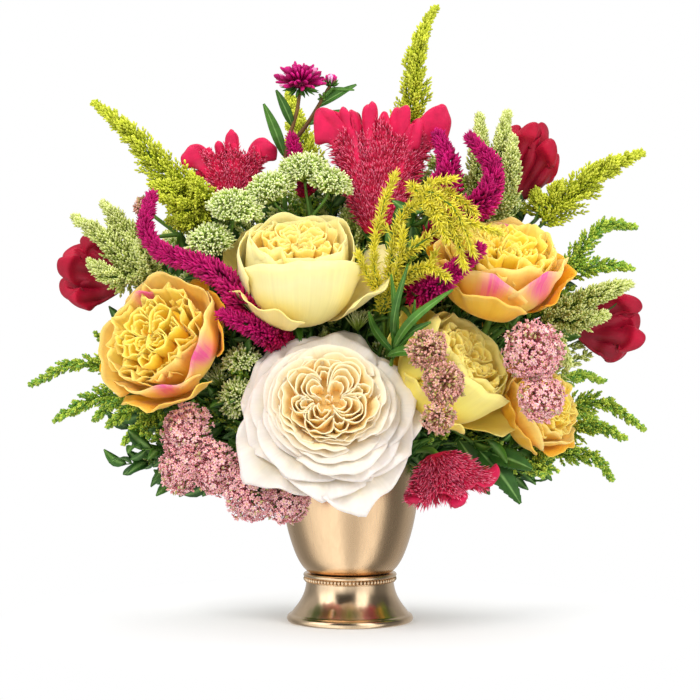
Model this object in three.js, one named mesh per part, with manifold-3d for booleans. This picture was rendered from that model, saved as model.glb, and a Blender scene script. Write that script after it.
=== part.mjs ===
// A floral table centerpiece: roses, cockscombs, plumes and stonecrop in a footed brass vase.
// Units are millimetres and +Z is up. The origin is the centre of the vase's flat underside,
// and the arrangement's front faces -Y.
import * as THREE from "three";
import { mergeVertices } from "three/addons/utils/BufferGeometryUtils.js";
import Module from "manifold-3d";

const wasm = await Module();
wasm.setup();

const at = (x, y, z) => new THREE.Vector3(x, y, z);
const flat = (radius, height) => new THREE.Vector2(radius, height);
const UP = at(0, 0, 1);
const TURN = Math.PI * 2;

// ---- Driving dimensions --------------------------------------------------------------------

const GAP = 0.35; // between separate pieces that touch on the real thing
const WALL = 1.3; // vase sheet
const FOOT_RADIUS = 39.3;
const FOOT_HEIGHT = 25.4;
const NECK_RADIUS = 27.3;
const COLLAR_HEIGHT = 4.5;
const COLLAR_BEADS = 24;
const BEAD_RELIEF = 0.55;
const RIM_RADIUS = 43.2;
const RIM_HEIGHT = 100;
const FOAM_TOP = 139;
const VASE_SEGMENTS = 18;
const FOAM_SEGMENTS = 9;

const HEART = at(0, 0, 104); // every stem points away from here, inside the foam
const STEM_START = 23; // from the heart to a stem's cut end
const STEM_OUT = 44; // from the heart to where a stem has left the foam
const STEM_APART = THREE.MathUtils.degToRad(8.2);
const STEM_LOWEST = THREE.MathUtils.degToRad(4); // above level, to pass over the rim
const PETAL = 0.9;
const LEAF = 0.9;
const STEM_SIDES = 3;
const HOLE_MARGIN = 0.75; // at a hole's corners; its faces then keep the gap to the stem's
const SLIVER = 0.04; // faces finer than this, left where solids were joined, are closed up

// ---- Finishes ------------------------------------------------------------------------------

const FINISHES = {
  brassFoot: { color: 0xb59468, roughness: 0.18, metalness: 1 },
  brassBowl: { color: 0xb59a72, roughness: 0.34, metalness: 1 },
  foam: { color: 0x2f4a2a, roughness: 0.95, metalness: 0 },
  stem: { color: 0x4e7a2c, roughness: 0.6, metalness: 0 },
  ivory: { color: 0xf8ece0, roughness: 0.55, metalness: 0 },
  cream: { color: 0xf4e3a2, roughness: 0.55, metalness: 0 },
  apricot: { color: 0xf7bb52, roughness: 0.55, metalness: 0 },
  lemon: { color: 0xf3d873, roughness: 0.55, metalness: 0 },
  lime: { color: 0xbdbd2c, roughness: 0.7, metalness: 0 },
  frond: { color: 0x6f9a34, roughness: 0.7, metalness: 0 },
  panicle: { color: 0xb4bd7c, roughness: 0.7, metalness: 0 },
  umbel: { color: 0xb7cc7e, roughness: 0.7, metalness: 0 },
  stonecrop: { color: 0xdd95a0, roughness: 0.7, metalness: 0 },
  crimson: { color: 0xc4123f, roughness: 0.75, metalness: 0 },
  velvet: { color: 0x8a0224, roughness: 0.8, metalness: 0 },
  magenta: { color: 0x9c0a58, roughness: 0.75, metalness: 0 },
  yellow: { color: 0xe6d63c, roughness: 0.7, metalness: 0 },
  aster: { color: 0xa8125e, roughness: 0.7, metalness: 0 },
};

// ---- Solids --------------------------------------------------------------------------------

// A closed geometry as a solid with its faces turned outwards.
function solidOf(geometry) {
  const bare = new THREE.BufferGeometry();
  bare.setAttribute("position", geometry.getAttribute("position"));
  bare.setIndex(geometry.getIndex());
  const merged = mergeVertices(bare, 1e-4);
  const vertProperties = new Float32Array(merged.getAttribute("position").array);
  const triVerts = new Uint32Array(merged.getIndex().array);
  const solid = new wasm.Manifold(new wasm.Mesh({ numProp: 3, vertProperties, triVerts }));
  if (solid.volume() > 0) return solid;
  for (let i = 0; i < triVerts.length; i += 3) {
    triVerts.set([triVerts[i + 2], triVerts[i + 1], triVerts[i]], i);
  }
  return new wasm.Manifold(new wasm.Mesh({ numProp: 3, vertProperties, triVerts }));
}

// Moves every point of a geometry by a formula. The input is rounded so that seams stay closed.
function shaped(geometry, place) {
  const position = geometry.getAttribute("position");
  const snap = (value) => Math.round(value * 1e5) / 1e5 + 0;
  for (let i = 0; i < position.count; i += 1) {
    const [x, y, z] = [position.getX(i), position.getY(i), position.getZ(i)].map(snap);
    const moved = place(x, y, z);
    position.setXYZ(i, moved.x, moved.y, moved.z);
  }
  return solidOf(geometry);
}

const joined = (solids) => wasm.Manifold.union(solids);

// The largest body of a solid, without its loose scraps and sealed hollows.
function oneBody(solid) {
  const bodies = solid.decompose();
  return bodies.reduce((best, body) => (body.volume() > best.volume() ? body : best));
}

function uprightTo(axis) {
  return new THREE.Quaternion().setFromUnitVectors(UP, axis.clone().normalize());
}

// A solid of revolution about Z, with an optional ripple of its radius round the axis.
function lathe(profile, segments, ripple = () => 0) {
  return shaped(new THREE.LatheGeometry(profile, segments), (x, y, z) => {
    const radius = Math.hypot(x, z);
    const angle = Math.atan2(-z, x);
    const grown = radius + ripple(angle, radius);
    return at(grown * Math.cos(angle), grown * Math.sin(angle), y);
  });
}

// Two directions square to a route at each of its shares, carried along it without twisting.
function framesAlong(route, shares) {
  const tangents = shares.map((share) => route.getTangentAt(share));
  const helper = Math.abs(tangents[0].z) < 0.9 ? UP : at(1, 0, 0);
  let normal = helper.clone().cross(tangents[0]).normalize();
  return tangents.map((tangent, i) => {
    const turn = new THREE.Quaternion().setFromUnitVectors(tangents[Math.max(i - 1, 0)], tangent);
    normal = normal.clone().applyQuaternion(turn);
    return { tangent, normal, binormal: tangent.clone().cross(normal) };
  });
}

const evenly = (steps) => Array.from({ length: steps + 1 }, (_, i) => i / steps);

// A closed skin round a route. stand(ring, side, spot) says how far out and forward a point of
// the skin is, and may ask spot(out, forward) where such a point would lie.
function skin(route, shares, sides, stand) {
  const rings = shares.length - 1;
  const frames = framesAlong(route, shares);
  return shaped(new THREE.CylinderGeometry(1, 1, 1, sides, rings), (x, y, z) => {
    const ring = Math.round((y + 0.5) * rings);
    const side = Math.round((Math.atan2(z, x) / TURN + 1) * sides) % sides;
    const { tangent, normal, binormal } = frames[ring];
    const angle = (side * TURN) / sides;
    const spot = (out, forward) =>
      route
        .getPointAt(shares[ring])
        .addScaledVector(normal, out * Math.cos(angle))
        .addScaledVector(binormal, out * Math.sin(angle))
        .addScaledVector(tangent, forward);
    const { out, forward } = stand(ring, side, spot);
    const onAxis = Math.hypot(x, z) < 0.5;
    if (onAxis) return spot(0, ring === 0 ? forward : 0);
    return spot(out, forward);
  });
}

// A round stalk. `extend` lengthens its first end.
function tube(route, radiusAt, sides, shares, extend = 0) {
  return skin(route, shares, sides, (ring) => ({
    out: radiusAt(shares[ring]),
    forward: ring === 0 ? -extend : 0,
  }));
}

// A closed sheet about the surface(u, v), u from -1 to 1 and v from 0 to 1, whose thickness
// is given for each row and column. Both faces are split into the same triangles, so that a
// waved sheet doesn't cross itself.
function sheet(columns, rows, surface, thickness) {
  const across = columns + 1;
  const grid = [];
  for (let row = 0; row <= rows; row += 1) {
    for (let column = 0; column <= columns; column += 1) {
      grid.push(surface((column / columns) * 2 - 1, row / rows));
    }
  }
  const count = grid.length;
  const spot = (row, column) => row * across + column;
  const clamp = THREE.MathUtils.clamp;
  const positions = new Float32Array(count * 6);
  grid.forEach((middle, i) => {
    const [row, column] = [Math.floor(i / across), i % across];
    const along = (a, b) => grid[b].clone().sub(grid[a]);
    const [left, right] = [clamp(column - 1, 0, columns), clamp(column + 1, 0, columns)];
    const [under, over] = [clamp(row - 1, 0, rows), clamp(row + 1, 0, rows)];
    const sideways = along(spot(row, left), spot(row, right));
    const upwards = along(spot(under, column), spot(over, column));
    const normal = sideways.cross(upwards).normalize();
    normal.multiplyScalar(thickness(row, column) / 2);
    middle.clone().add(normal).toArray(positions, i * 3);
    middle.clone().sub(normal).toArray(positions, (count + i) * 3);
  });
  const index = [];
  for (let row = 0; row < rows; row += 1) {
    for (let column = 0; column < columns; column += 1) {
      const [a, b] = [spot(row, column), spot(row, column + 1)];
      const [c, d] = [spot(row + 1, column), spot(row + 1, column + 1)];
      index.push(a, b, d, a, d, c);
      index.push(count + a, count + d, count + b, count + a, count + c, count + d);
    }
  }
  const edge = [];
  for (let column = 0; column < columns; column += 1) edge.push(spot(0, column));
  for (let row = 0; row < rows; row += 1) edge.push(spot(row, columns));
  for (let column = columns; column > 0; column -= 1) edge.push(spot(rows, column));
  for (let row = rows; row > 0; row -= 1) edge.push(spot(row, 0));
  edge.forEach((a, i) => {
    const b = edge[(i + 1) % edge.length];
    index.push(a, count + a, b, b, count + a, count + b);
  });
  const geometry = new THREE.BufferGeometry();
  geometry.setAttribute("position", new THREE.BufferAttribute(positions, 3));
  geometry.setIndex(index);
  return solidOf(geometry);
}

// ---- Florets and leaves --------------------------------------------------------------------
// What grows is a function of room(root, tip, width), which says whether a floret would stay
// clear of the other pieces. A floret without room stays in its stalk.

function cone(root, tip, width) {
  const along = tip.clone().sub(root);
  const length = along.length();
  const turn = new THREE.Quaternion().setFromUnitVectors(at(0, 1, 0), along.normalize());
  return shaped(new THREE.ConeGeometry(width, length, 4), (x, y, z) =>
    at(x, y + length / 2, z).applyQuaternion(turn).add(root),
  );
}

// A branch clothed in florets: every other point of its skin stands out and leans forward.
function clothed(route, habit) {
  const { core, thin = 0.5, reach, taper = 0.6, lean = 0.8 } = habit;
  const { sides = 6, spacing = 6, from = 0.15 } = habit;
  const rings = Math.max(Math.round(route.getLength() / spacing), 3);
  const shares = evenly(rings);
  return (room) =>
    skin(route, shares, sides, (ring, side, spot) => {
      const share = shares[ring];
      const inner = Math.max(core * (1 - share) ** 0.7, thin);
      const bare = { out: inner, forward: 0 };
      if ((ring + side) % 2 === 1 || share < from || ring === rings) return bare;
      const length = reach * (1 - taper * share);
      const floret = { out: inner + length, forward: length * lean };
      return room(spot(0, 0), spot(floret.out, floret.forward), spacing / 2) ? floret : bare;
    });
}

const HEAD_POLES = [0, 0.17, 0.36, 0.66, 1].map((share) => share * Math.PI);
const HEAD_BUDDED = 2; // the lowest ring with buds
const HEAD_SIDES = 8;

// A domed head of buds: every other point of its upper rings stands out.
function headed(centre, axis, radius, habit) {
  const { length, dome = 0.55 } = habit;
  const place = placer(centre, axis, 1);
  const lowest = HEAD_POLES.length - 1;
  const inner = radius - length;
  return (room) =>
    shaped(new THREE.SphereGeometry(1, HEAD_SIDES, lowest), (x, y, z) => {
      const ring = Math.round((Math.acos(THREE.MathUtils.clamp(y, -1, 1)) / Math.PI) * lowest);
      const side = Math.round((Math.atan2(z, x) / TURN + 1) * HEAD_SIDES) % HEAD_SIDES;
      const angle = (side * TURN) / HEAD_SIDES;
      const level = ring === lowest ? 0 : Math.sin(HEAD_POLES[ring]);
      const height = Math.cos(HEAD_POLES[ring]);
      const outward = at(level * Math.cos(angle), level * Math.sin(angle), height);
      const skinPoint = outward.clone().multiply(at(inner, inner, inner * dome));
      const root = place(skinPoint.clone());
      const isBud = ring === 0 || (ring <= HEAD_BUDDED && (ring + side) % 2 === 1);
      if (!isBud) return root;
      const tip = place(skinPoint.addScaledVector(outward.add(at(0, 0, 0.3)).normalize(), length));
      return room(place(at(0, 0, 0)), tip, length / 2) ? tip : root;
    });
}

// A leaf with a toothed edge, folded a little along its midrib.
function leaf(root, tip, half, face, teeth = 2, columns = 2) {
  const along = tip.clone().sub(root);
  const across = along.clone().cross(face).normalize();
  const lift = across.clone().cross(along).normalize();
  const rows = teeth * 2;
  const surface = (u, v) => {
    const tooth = Math.round(v * rows) % 2 === 1 ? 1.12 : 0.92;
    const width = (0.8 + half * Math.sin(Math.PI * (0.06 + 0.9 * v))) * tooth;
    const bow = half * (0.5 * Math.sin(Math.PI * v) + 0.25 * Math.abs(u));
    return root
      .clone()
      .addScaledVector(along, v)
      .addScaledVector(across, u * width)
      .addScaledVector(lift, bow);
  };
  return () => sheet(columns, rows, surface, () => LEAF);
}

// ---- The vase and the foam -----------------------------------------------------------------

// Points `distance` to the inner side of an open profile that runs upwards.
function insetProfile(profile, distance) {
  return profile.map((point, i) => {
    const before = profile[Math.max(i - 1, 0)];
    const after = profile[Math.min(i + 1, profile.length - 1)];
    const along = after.clone().sub(before).normalize();
    return flat(point.x - along.y * distance, point.y + along.x * distance);
  });
}

function vaseFoot() {
  const rolledEdge = [
    flat(FOOT_RADIUS - 1.7, 0),
    flat(FOOT_RADIUS, 1.8),
    flat(FOOT_RADIUS - 0.7, 4.4),
  ];
  const flare = new THREE.CubicBezierCurve(
    flat(FOOT_RADIUS - 2.8, 5.4),
    flat(FOOT_RADIUS - 4.8, 14),
    flat(NECK_RADIUS + 1.2, 16),
    flat(NECK_RADIUS, FOOT_HEIGHT),
  ).getPoints(4);
  const inside = insetProfile(flare, WALL).reverse();
  const floor = [flat(FOOT_RADIUS - 5, 2), flat(0, 2)];
  return lathe([flat(0, 0), ...rolledEdge, ...flare, ...inside, ...floor], VASE_SEGMENTS);
}

// The disc that joins foot and bowl, with a row of beads raised round its edge.
function vaseCollar() {
  const low = FOOT_HEIGHT + GAP;
  const high = low + COLLAR_HEIGHT;
  const profile = [
    flat(0, low),
    flat(NECK_RADIUS - 0.2, low),
    flat(NECK_RADIUS + 1.2, (low + high) / 2),
    flat(NECK_RADIUS - 0.2, high),
    flat(0, high),
  ];
  const beads = (angle, radius) =>
    radius > NECK_RADIUS ? BEAD_RELIEF * Math.cos(angle * COLLAR_BEADS) : 0;
  return lathe(profile, COLLAR_BEADS * 2, beads);
}

const BOWL_FOOT = FOOT_HEIGHT + COLLAR_HEIGHT + 2 * GAP;
const BOWL_FLOOR = BOWL_FOOT + WALL + 0.4;

function bowlOutside() {
  return new THREE.SplineCurve([
    flat(NECK_RADIUS - 0.4, BOWL_FOOT + 0.9),
    flat(32, 38.8),
    flat(37.4, 53),
    flat(41, 68),
    flat(42.6, 84),
    flat(RIM_RADIUS, RIM_HEIGHT),
  ]).getPoints(4);
}

function vaseBowl() {
  const outside = bowlOutside();
  const inside = insetProfile(outside, WALL).reverse();
  const under = [flat(0, BOWL_FOOT), flat(NECK_RADIUS - 2.6, BOWL_FOOT)];
  const floor = [flat(NECK_RADIUS - 4, BOWL_FLOOR), flat(0, BOWL_FLOOR)];
  return lathe([...under, ...outside, ...inside, ...floor], VASE_SEGMENTS);
}

// A round plug that fills the bowl and stands above its rim as a dome.
function foamPlug() {
  const sides = insetProfile(bowlOutside(), WALL + 2 * GAP);
  const low = BOWL_FLOOR + GAP;
  const dome = new THREE.CubicBezierCurve(
    flat(39.6, RIM_HEIGHT + 4),
    flat(37, RIM_HEIGHT + 20),
    flat(24, FOAM_TOP - 2),
    flat(0, FOAM_TOP),
  ).getPoints(3);
  const wall = sides.filter((point) => point.y > low + 1 && point.y < RIM_HEIGHT - 2);
  return lathe([flat(0, low), flat(NECK_RADIUS - 5, low), ...wall, ...dome], FOAM_SEGMENTS);
}

// ---- Plants: each has a stem in the foam and whatever grows on it --------------------------

const plants = [];
const nodes = [];

// `foot` is where the stem ends, `arrive` its direction there, and `parts` what grows on it.
function plant(name, finish, foot, arrive, parts, radius = 1.6) {
  plants.push({ name, finish, foot, arrive: arrive.clone().normalize(), parts, radius });
}

// ---- Roses ---------------------------------------------------------------------------------

// One petal, from the bloom's axis outwards: profile holds [radius, height] of its midline.
// `tuck` tilts it, so that one edge lies under the next petal and the other edge over it.
function petal(form, angle, place) {
  const { profile, half, foot = 0.34, round = 0.22, tuck = 2.2, rows = 2 } = form;
  const rise = new THREE.CubicBezierCurve(...profile.map(([r, z]) => flat(r, z)));
  const surface = (u, v) => {
    const lip = v * (1 - round * u * u);
    const middle = rise.getPoint(lip);
    const along = rise.getTangent(lip);
    const spread = half * (foot + (1 - foot) * Math.sin((lip * Math.PI) / 2));
    const radius = middle.x + along.y * tuck * u * lip;
    const height = middle.y - along.x * tuck * u * lip;
    const turn = angle + u * spread;
    return place(at(radius * Math.cos(turn), radius * Math.sin(turn), height));
  };
  return sheet(2, rows, surface, () => PETAL);
}

function placer(base, axis, scale) {
  const turn = uprightTo(axis);
  return (point) => point.multiplyScalar(scale).applyQuaternion(turn).add(base);
}

function roseBloom(base, axis, scale, rings, spin) {
  const place = placer(base, axis, scale);
  const petals = rings.flatMap((ring) =>
    Array.from({ length: ring.count }, (_, i) =>
      petal(ring, spin + ring.start + (i * TURN) / ring.count, place),
    ),
  );
  const bottom = 1 / scale;
  const heart = new THREE.LatheGeometry(
    [flat(0, -bottom), flat(7, -bottom), flat(8.5, 10), flat(0, 30)],
    5,
  );
  const core = shaped(heart, (x, y, z) => place(at(x, -z, y)));
  return oneBody(joined([core, ...petals]));
}

// The green cup under a bloom, whose five sepals are drawn out from every other point of a ring.
function calyx(base, axis) {
  const place = placer(base, axis, 1);
  const cup = [flat(0, -9), flat(3.2, -6.5), flat(3.9, -3.6), flat(0, -1.4)];
  const sides = 10;
  const sepalRing = 3.85;
  return () =>
    shaped(new THREE.LatheGeometry(cup, sides), (x, y, z) => {
      const side = Math.round((Math.atan2(z, x) / TURN + 1) * sides) % sides;
      const isSepal = Math.hypot(x, z) > sepalRing && side % 2 === 0;
      const drawn = isSepal ? 3.6 : 1;
      return place(at(x * drawn, -z * drawn, isSepal ? y - 2.4 : y));
    });
}

function rose(name, finish, base, axis, scale, rings, spin = 0, leaves = []) {
  const bloom = roseBloom(base, axis, scale, rings, spin);
  nodes.push({ name: name + "_bloom", finish, parts: [() => bloom] });
  const foot = base.clone().addScaledVector(axis.clone().normalize(), -7);
  plant(name + "_stem", "stem", foot, axis, [calyx(base, axis), ...leaves], 2.1);
}

const OPEN_ROSE = [
  { count: 5, start: 0.3, half: 0.78, profile: [[5, 0], [28, -2], [48, 11], [56, 9]] },
  { count: 5, start: 0.9, half: 0.74, profile: [[5, 2], [26, 4], [42, 16], [45, 27]], tuck: 3 },
  { count: 3, start: 0.4, half: 1.15, profile: [[4, 4], [20, 6], [31, 20], [31, 34]], tuck: 2.8 },
  { count: 2, start: 0.1, half: 1.4, profile: [[3, 6], [11, 10], [19, 24], [14, 37]] },
];
const CUP_ROSE = [
  { count: 3, start: 2.4, half: 0.72, profile: [[5, 0], [30, 0], [42, 26], [50, 40]] },
  { count: 3, start: 0.6, half: 1.15, profile: [[5, 1], [28, 4], [36, 28], [31, 54]], tuck: 2.6 },
  { count: 3, start: 0, half: 1.05, profile: [[4, 3], [20, 8], [27, 30], [21, 56]] },
  { count: 1, start: 0.8, half: 2.4, profile: [[3, 6], [11, 12], [16, 30], [11, 54]] },
];
const RUFFLED_ROSE = [
  { count: 3, start: 2.2, half: 0.86, profile: [[5, 0], [32, 0], [40, 20], [44, 36]] },
  { count: 3, start: 1.1, half: 1.1, profile: [[5, 1], [27, 4], [35, 22], [33, 44]], tuck: 2.6 },
  { count: 3, start: 0, half: 0.95, profile: [[4, 3], [18, 8], [25, 24], [25, 46]] },
  { count: 1, start: 0.2, half: 2.4, profile: [[3, 6], [10, 12], [15, 26], [14, 46]] },
];

const lowLeafFace = at(0.2, -0.9, 0.4);
const LEAF_STALK = new THREE.LineCurve3(at(36, -29.6, 136.5), at(86, -30, 105));
const LOW_LEAVES = [
  () => tube(LEAF_STALK, (share) => 1.4 - 0.5 * share, 3, evenly(1)),
  leaf(at(84, -30, 106), at(110, -38, 97), 6.5, lowLeafFace),
  leaf(at(78, -29.5, 108), at(103, -36, 76), 7, lowLeafFace),
  leaf(at(66, -28.5, 114), at(84, -32, 82), 6, lowLeafFace),
];

rose("white_rose", "ivory", at(-13, -59, 127), at(0.03, -0.87, 0.49), 0.96, OPEN_ROSE);
rose("cream_rose", "cream", at(-33, -30, 190), at(0.03, -0.5, 0.866), 1, CUP_ROSE);
rose("apricot_rose_left", "apricot", at(-99, -27, 161), at(-0.48, -0.75, 0.45), 0.95, RUFFLED_ROSE);
rose("apricot_rose_right", "apricot", at(86, -32, 196), at(0.12, -0.5, 0.86), 0.95, RUFFLED_ROSE);
rose(
  "yellow_rose",
  "lemon",
  at(41, -33, 141),
  at(0.69, -0.45, 0.56),
  0.9,
  CUP_ROSE,
  0.5,
  LOW_LEAVES,
);
rose("small_apricot_rose", "apricot", at(103, -8, 126), at(0.7, -0.6, 0.38), 0.68, RUFFLED_ROSE);
rose("back_white_rose", "ivory", at(6, 54, 132), at(0, 0.86, 0.5), 0.88, OPEN_ROSE, 0.2);
rose("back_cream_rose", "cream", at(-50, 42, 176), at(-0.35, 0.6, 0.72), 0.95, CUP_ROSE, 0.7);
rose("back_apricot_rose", "apricot", at(60, 40, 164), at(0.45, 0.7, 0.55), 0.95, RUFFLED_ROSE);

// ---- Plumes, fronds, panicles and spikes ---------------------------------------------------

// Branches up to their tips. The first starts at the stem's end, and the others leave it one
// after another.
function spray(name, finish, foot, branches, habit) {
  const [first, ...others] = branches;
  const leader = new THREE.CatmullRomCurve3([foot, ...first]);
  const { fork = 0.1 } = habit;
  const side = (points, i) =>
    new THREE.CatmullRomCurve3([leader.getPointAt(fork * (i + 1)), ...points]);
  const routes = [leader, ...others.map(side)];
  const arrive = first[0].clone().sub(foot);
  plant(name, finish, foot, arrive, routes.map((route) => clothed(route, habit)));
}

const LIME = { core: 2.2, reach: 10, taper: 0.7, lean: 0.9, spacing: 7.5 };
const FROND = { core: 1.6, reach: 7, taper: 0.5, sides: 4, spacing: 10, from: 0.25, fork: 0.06 };
const PANICLE = { core: 5.6, thin: 1.6, reach: 5, taper: 0.4, lean: 0.5, spacing: 10 };
const MAGENTA = { core: 4, thin: 0.8, reach: 3.4, taper: 0.3, lean: 0.8, spacing: 8 };
const YELLOW = { core: 1.2, reach: 4, taper: 0.5, sides: 4, spacing: 10, fork: 0.13 };

spray("lime_plume_left", "lime", at(-86, 8, 250), [
  [at(-100, 9, 265), at(-119, 9, 283), at(-138, 10, 304), at(-159, 12, 322)],
  [at(-84, -4, 256), at(-80, -12, 252)],
  [at(-98, -2, 262), at(-106, -8, 266)],
], LIME);
spray("lime_plume_top", "lime", at(31, 18, 268), [
  [at(36, 16, 300), at(41, 14, 332), at(41, 14, 350), at(47, 14, 370), at(53, 14, 381)],
], LIME);
spray("lime_plume_right", "lime", at(116, 8, 243), [
  [at(129, 9, 255), at(146, 10, 270), at(163, 11, 283), at(182, 12, 291)],
  [at(118, 8, 256), at(116, 7, 267)],
  [at(126, 6, 262), at(131, 6, 272)],
], LIME);
spray("lime_plume_back", "lime", at(-22, 44, 262), [
  [at(-29, 58, 292), at(-36, 72, 318), at(-40, 80, 336)],
], LIME);

spray("green_frond_left", "frond", at(-108, -10, 140), [
  [at(-135, -10, 152), at(-157, -9, 160), at(-175, -8, 158), at(-197, -6, 147)],
  [at(-122, -24, 128), at(-137, -34, 113)],
  [at(-128, -22, 136), at(-147, -28, 123)],
  [at(-133, -15, 142), at(-160, -16, 138), at(-180, -18, 126)],
  [at(-138, -2, 164), at(-157, -2, 178)],
], { ...FROND, fork: 0.07 });
spray("green_frond_low_right", "frond", at(112, 10, 114), [
  [at(126, 6, 126), at(142, 2, 134), at(158, -2, 135), at(181, -6, 120)],
  [at(115, -6, 101), at(117, -30, 93)],
  [at(126, 2, 107), at(151, -14, 101), at(160, -20, 90)],
  [at(136, 4, 119), at(152, -4, 121), at(169, -12, 114)],
], FROND);
spray("green_frond_right", "frond", at(128, 2, 212), [
  [at(140, 2, 226), at(149, 2, 237), at(160, 4, 246), at(177, 4, 245)],
  [at(145, -3, 218), at(158, -6, 221), at(174, -6, 219)],
], FROND);
spray("green_frond_back_right", "frond", at(105, 52, 128), [
  [at(130, 66, 142), at(150, 80, 150), at(168, 92, 146)],
  [at(125, 72, 130), at(142, 90, 130), at(152, 104, 122)],
  [at(130, 58, 126), at(150, 64, 126), at(168, 70, 114)],
], FROND);
spray("green_frond_back_left", "frond", at(-105, 50, 140), [
  [at(-128, 62, 154), at(-146, 74, 162), at(-164, 84, 160)],
  [at(-124, 68, 140), at(-140, 84, 138), at(-150, 98, 130)],
  [at(-130, 54, 136), at(-150, 58, 134), at(-166, 62, 122)],
], FROND);

spray("pale_panicle_left", "panicle", at(-118, -12, 206), [
  [at(-136, -16, 222), at(-152, -18, 238), at(-168, -18, 249)],
  [at(-122, -22, 218), at(-128, -28, 234)],
  [at(-130, -11, 230), at(-142, -10, 246), at(-151, -10, 258)],
  [at(-138, -20, 212), at(-150, -24, 216), at(-158, -24, 222)],
], PANICLE);
spray("pale_panicle_top", "panicle", at(82, -2, 238), [
  [at(80, -6, 270), at(80, -6, 312)],
  [at(94, -10, 262), at(100, -12, 298)],
  [at(90, -4, 278), at(97, -4, 314)],
], PANICLE);
spray("pale_panicle_right", "panicle", at(118, -6, 182), [
  [at(140, -14, 196), at(156, -16, 204), at(171, -16, 209)],
  [at(126, -16, 174), at(133, -22, 160)],
  [at(140, -20, 186), at(156, -22, 190)],
], PANICLE);
spray("pale_panicle_back", "panicle", at(-100, 32, 206), [
  [at(-108, 46, 222), at(-118, 56, 242)],
  [at(-100, 50, 222), at(-101, 66, 238)],
  [at(-112, 40, 214), at(-126, 48, 222)],
], PANICLE);

spray("magenta_spike_left", "magenta", at(-36, -32, 166), [
  [
    at(-44, -38, 177), at(-52, -48, 187), at(-61, -56, 195), at(-68, -57, 204),
    at(-80, -52, 215), at(-96, -46, 222), at(-116, -40, 230), at(-124, -34, 244),
    at(-120, -28, 262),
  ],
  [at(-46, -48, 177), at(-58, -60, 183), at(-75, -64, 190)],
], MAGENTA);
spray("magenta_spike_upper", "magenta", at(50, -16, 250), [
  [at(57, -20, 266), at(60, -18, 282), at(54, -14, 300)],
], { ...MAGENTA, core: 5 });
spray("magenta_spike_hooked", "magenta", at(48, -14, 226), [
  [
    at(65, -27, 250), at(78, -34, 256), at(85, -32, 267), at(87, -30, 278),
    at(82, -28, 287), at(73, -26, 297),
  ],
], { ...MAGENTA, core: 4.6 });
spray("magenta_spike_low", "magenta", at(36, -44, 202), [
  [at(52, -72, 208), at(64, -79, 218), at(75, -83, 228)],
], MAGENTA);
spray("magenta_spike_small", "magenta", at(-26, 4, 262), [
  [at(-30, 3, 278), at(-36, 2, 299)],
], { ...MAGENTA, core: 2.8 });
spray("magenta_spike_back", "magenta", at(78, 26, 226), [
  [at(90, 42, 250), at(104, 56, 276)],
], MAGENTA);

spray("yellow_drooping_spray", "yellow", at(24, -48, 194), [
  [at(24, -66, 222), at(32, -72, 250), at(46, -82, 254), at(60, -88, 240), at(66, -90, 218)],
  [at(44, -82, 218), at(56, -92, 212)],
  [at(38, -76, 230), at(62, -84, 244), at(86, -88, 238)],
  [at(18, -66, 244), at(26, -70, 272)],
  [at(36, -64, 254), at(56, -70, 262), at(73, -80, 250)],
], YELLOW);

// ---- Umbels and stonecrop heads ------------------------------------------------------------

// Budded heads on stalks: `list` holds each head's [centre, radius]. The first stalk starts at
// the stem's end, and the others leave it one after another.
function heads(name, finish, foot, list, habit) {
  const toFirst = list[0][0].clone().sub(foot);
  const { face, fork = 0.12, arrive = toFirst } = habit;
  const parts = list.flatMap(([centre, radius], i) => {
    const start = foot.clone().addScaledVector(toFirst, fork * i);
    const along = centre.clone().sub(start).normalize();
    const route = new THREE.LineCurve3(start, centre);
    const stalk = () => tube(route, () => 1.3, 3, evenly(1));
    return [stalk, headed(centre, along.add(face).normalize(), radius, habit)];
  });
  plant(name, finish, foot, arrive, parts);
}

const UMBEL = { face: at(0, -0.2, 0.9), length: 6.5 };
const STONECROP = { face: at(-0.2, -1.3, 0.1), length: 5 };

heads("green_umbel_left", "umbel", at(-78, -14, 222), [
  [at(-85, -30, 233), 15],
  [at(-70, -28, 253), 17],
], UMBEL);
heads("green_umbel_top", "umbel", at(-20, -10, 240), [
  [at(-49, -18, 264), 17],
  [at(-28, -14, 277), 16],
  [at(-12, -20, 269), 14],
], UMBEL);
heads("green_umbel_low", "umbel", at(-58, -34, 150), [
  [at(-65, -42, 162), 11],
  [at(-67, -44, 140), 12],
], { ...UMBEL, length: 4.5 });
heads("green_umbel_back", "umbel", at(15, 50, 212), [
  [at(20, 62, 234), 18],
  [at(-6, 64, 225), 15],
  [at(42, 64, 221), 14],
], { ...UMBEL, face: at(0, 0.7, 0.7) });

heads("stonecrop_left", "stonecrop", at(-62, -40, 108), [
  [at(-97, -50, 120), 19],
  [at(-101, -50, 97), 16],
  [at(-79, -60, 99), 18],
  [at(-58, -66, 84), 18],
  [at(-37, -66, 80), 15],
], STONECROP);
heads("stonecrop_front", "stonecrop", at(34, -54, 192), [
  [at(45, -88, 170), 13],
  [at(54, -96, 151), 14],
  [at(51, -98, 131), 11],
], { ...STONECROP, length: 4 });
heads("stonecrop_right", "stonecrop", at(98, -14, 184), [
  [at(108, -68, 169), 20],
  [at(113, -66, 141), 16],
], { ...STONECROP, face: at(0.3, -1.3, 0.1), arrive: at(0.1, -1, -0.35) });
heads("stonecrop_back", "stonecrop", at(-64, 42, 118), [
  [at(-82, 60, 130), 20],
  [at(-70, 66, 104), 18],
], { ...STONECROP, face: at(-0.3, 1.2, 0.1) });

// ---- Cockscombs ----------------------------------------------------------------------------

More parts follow.
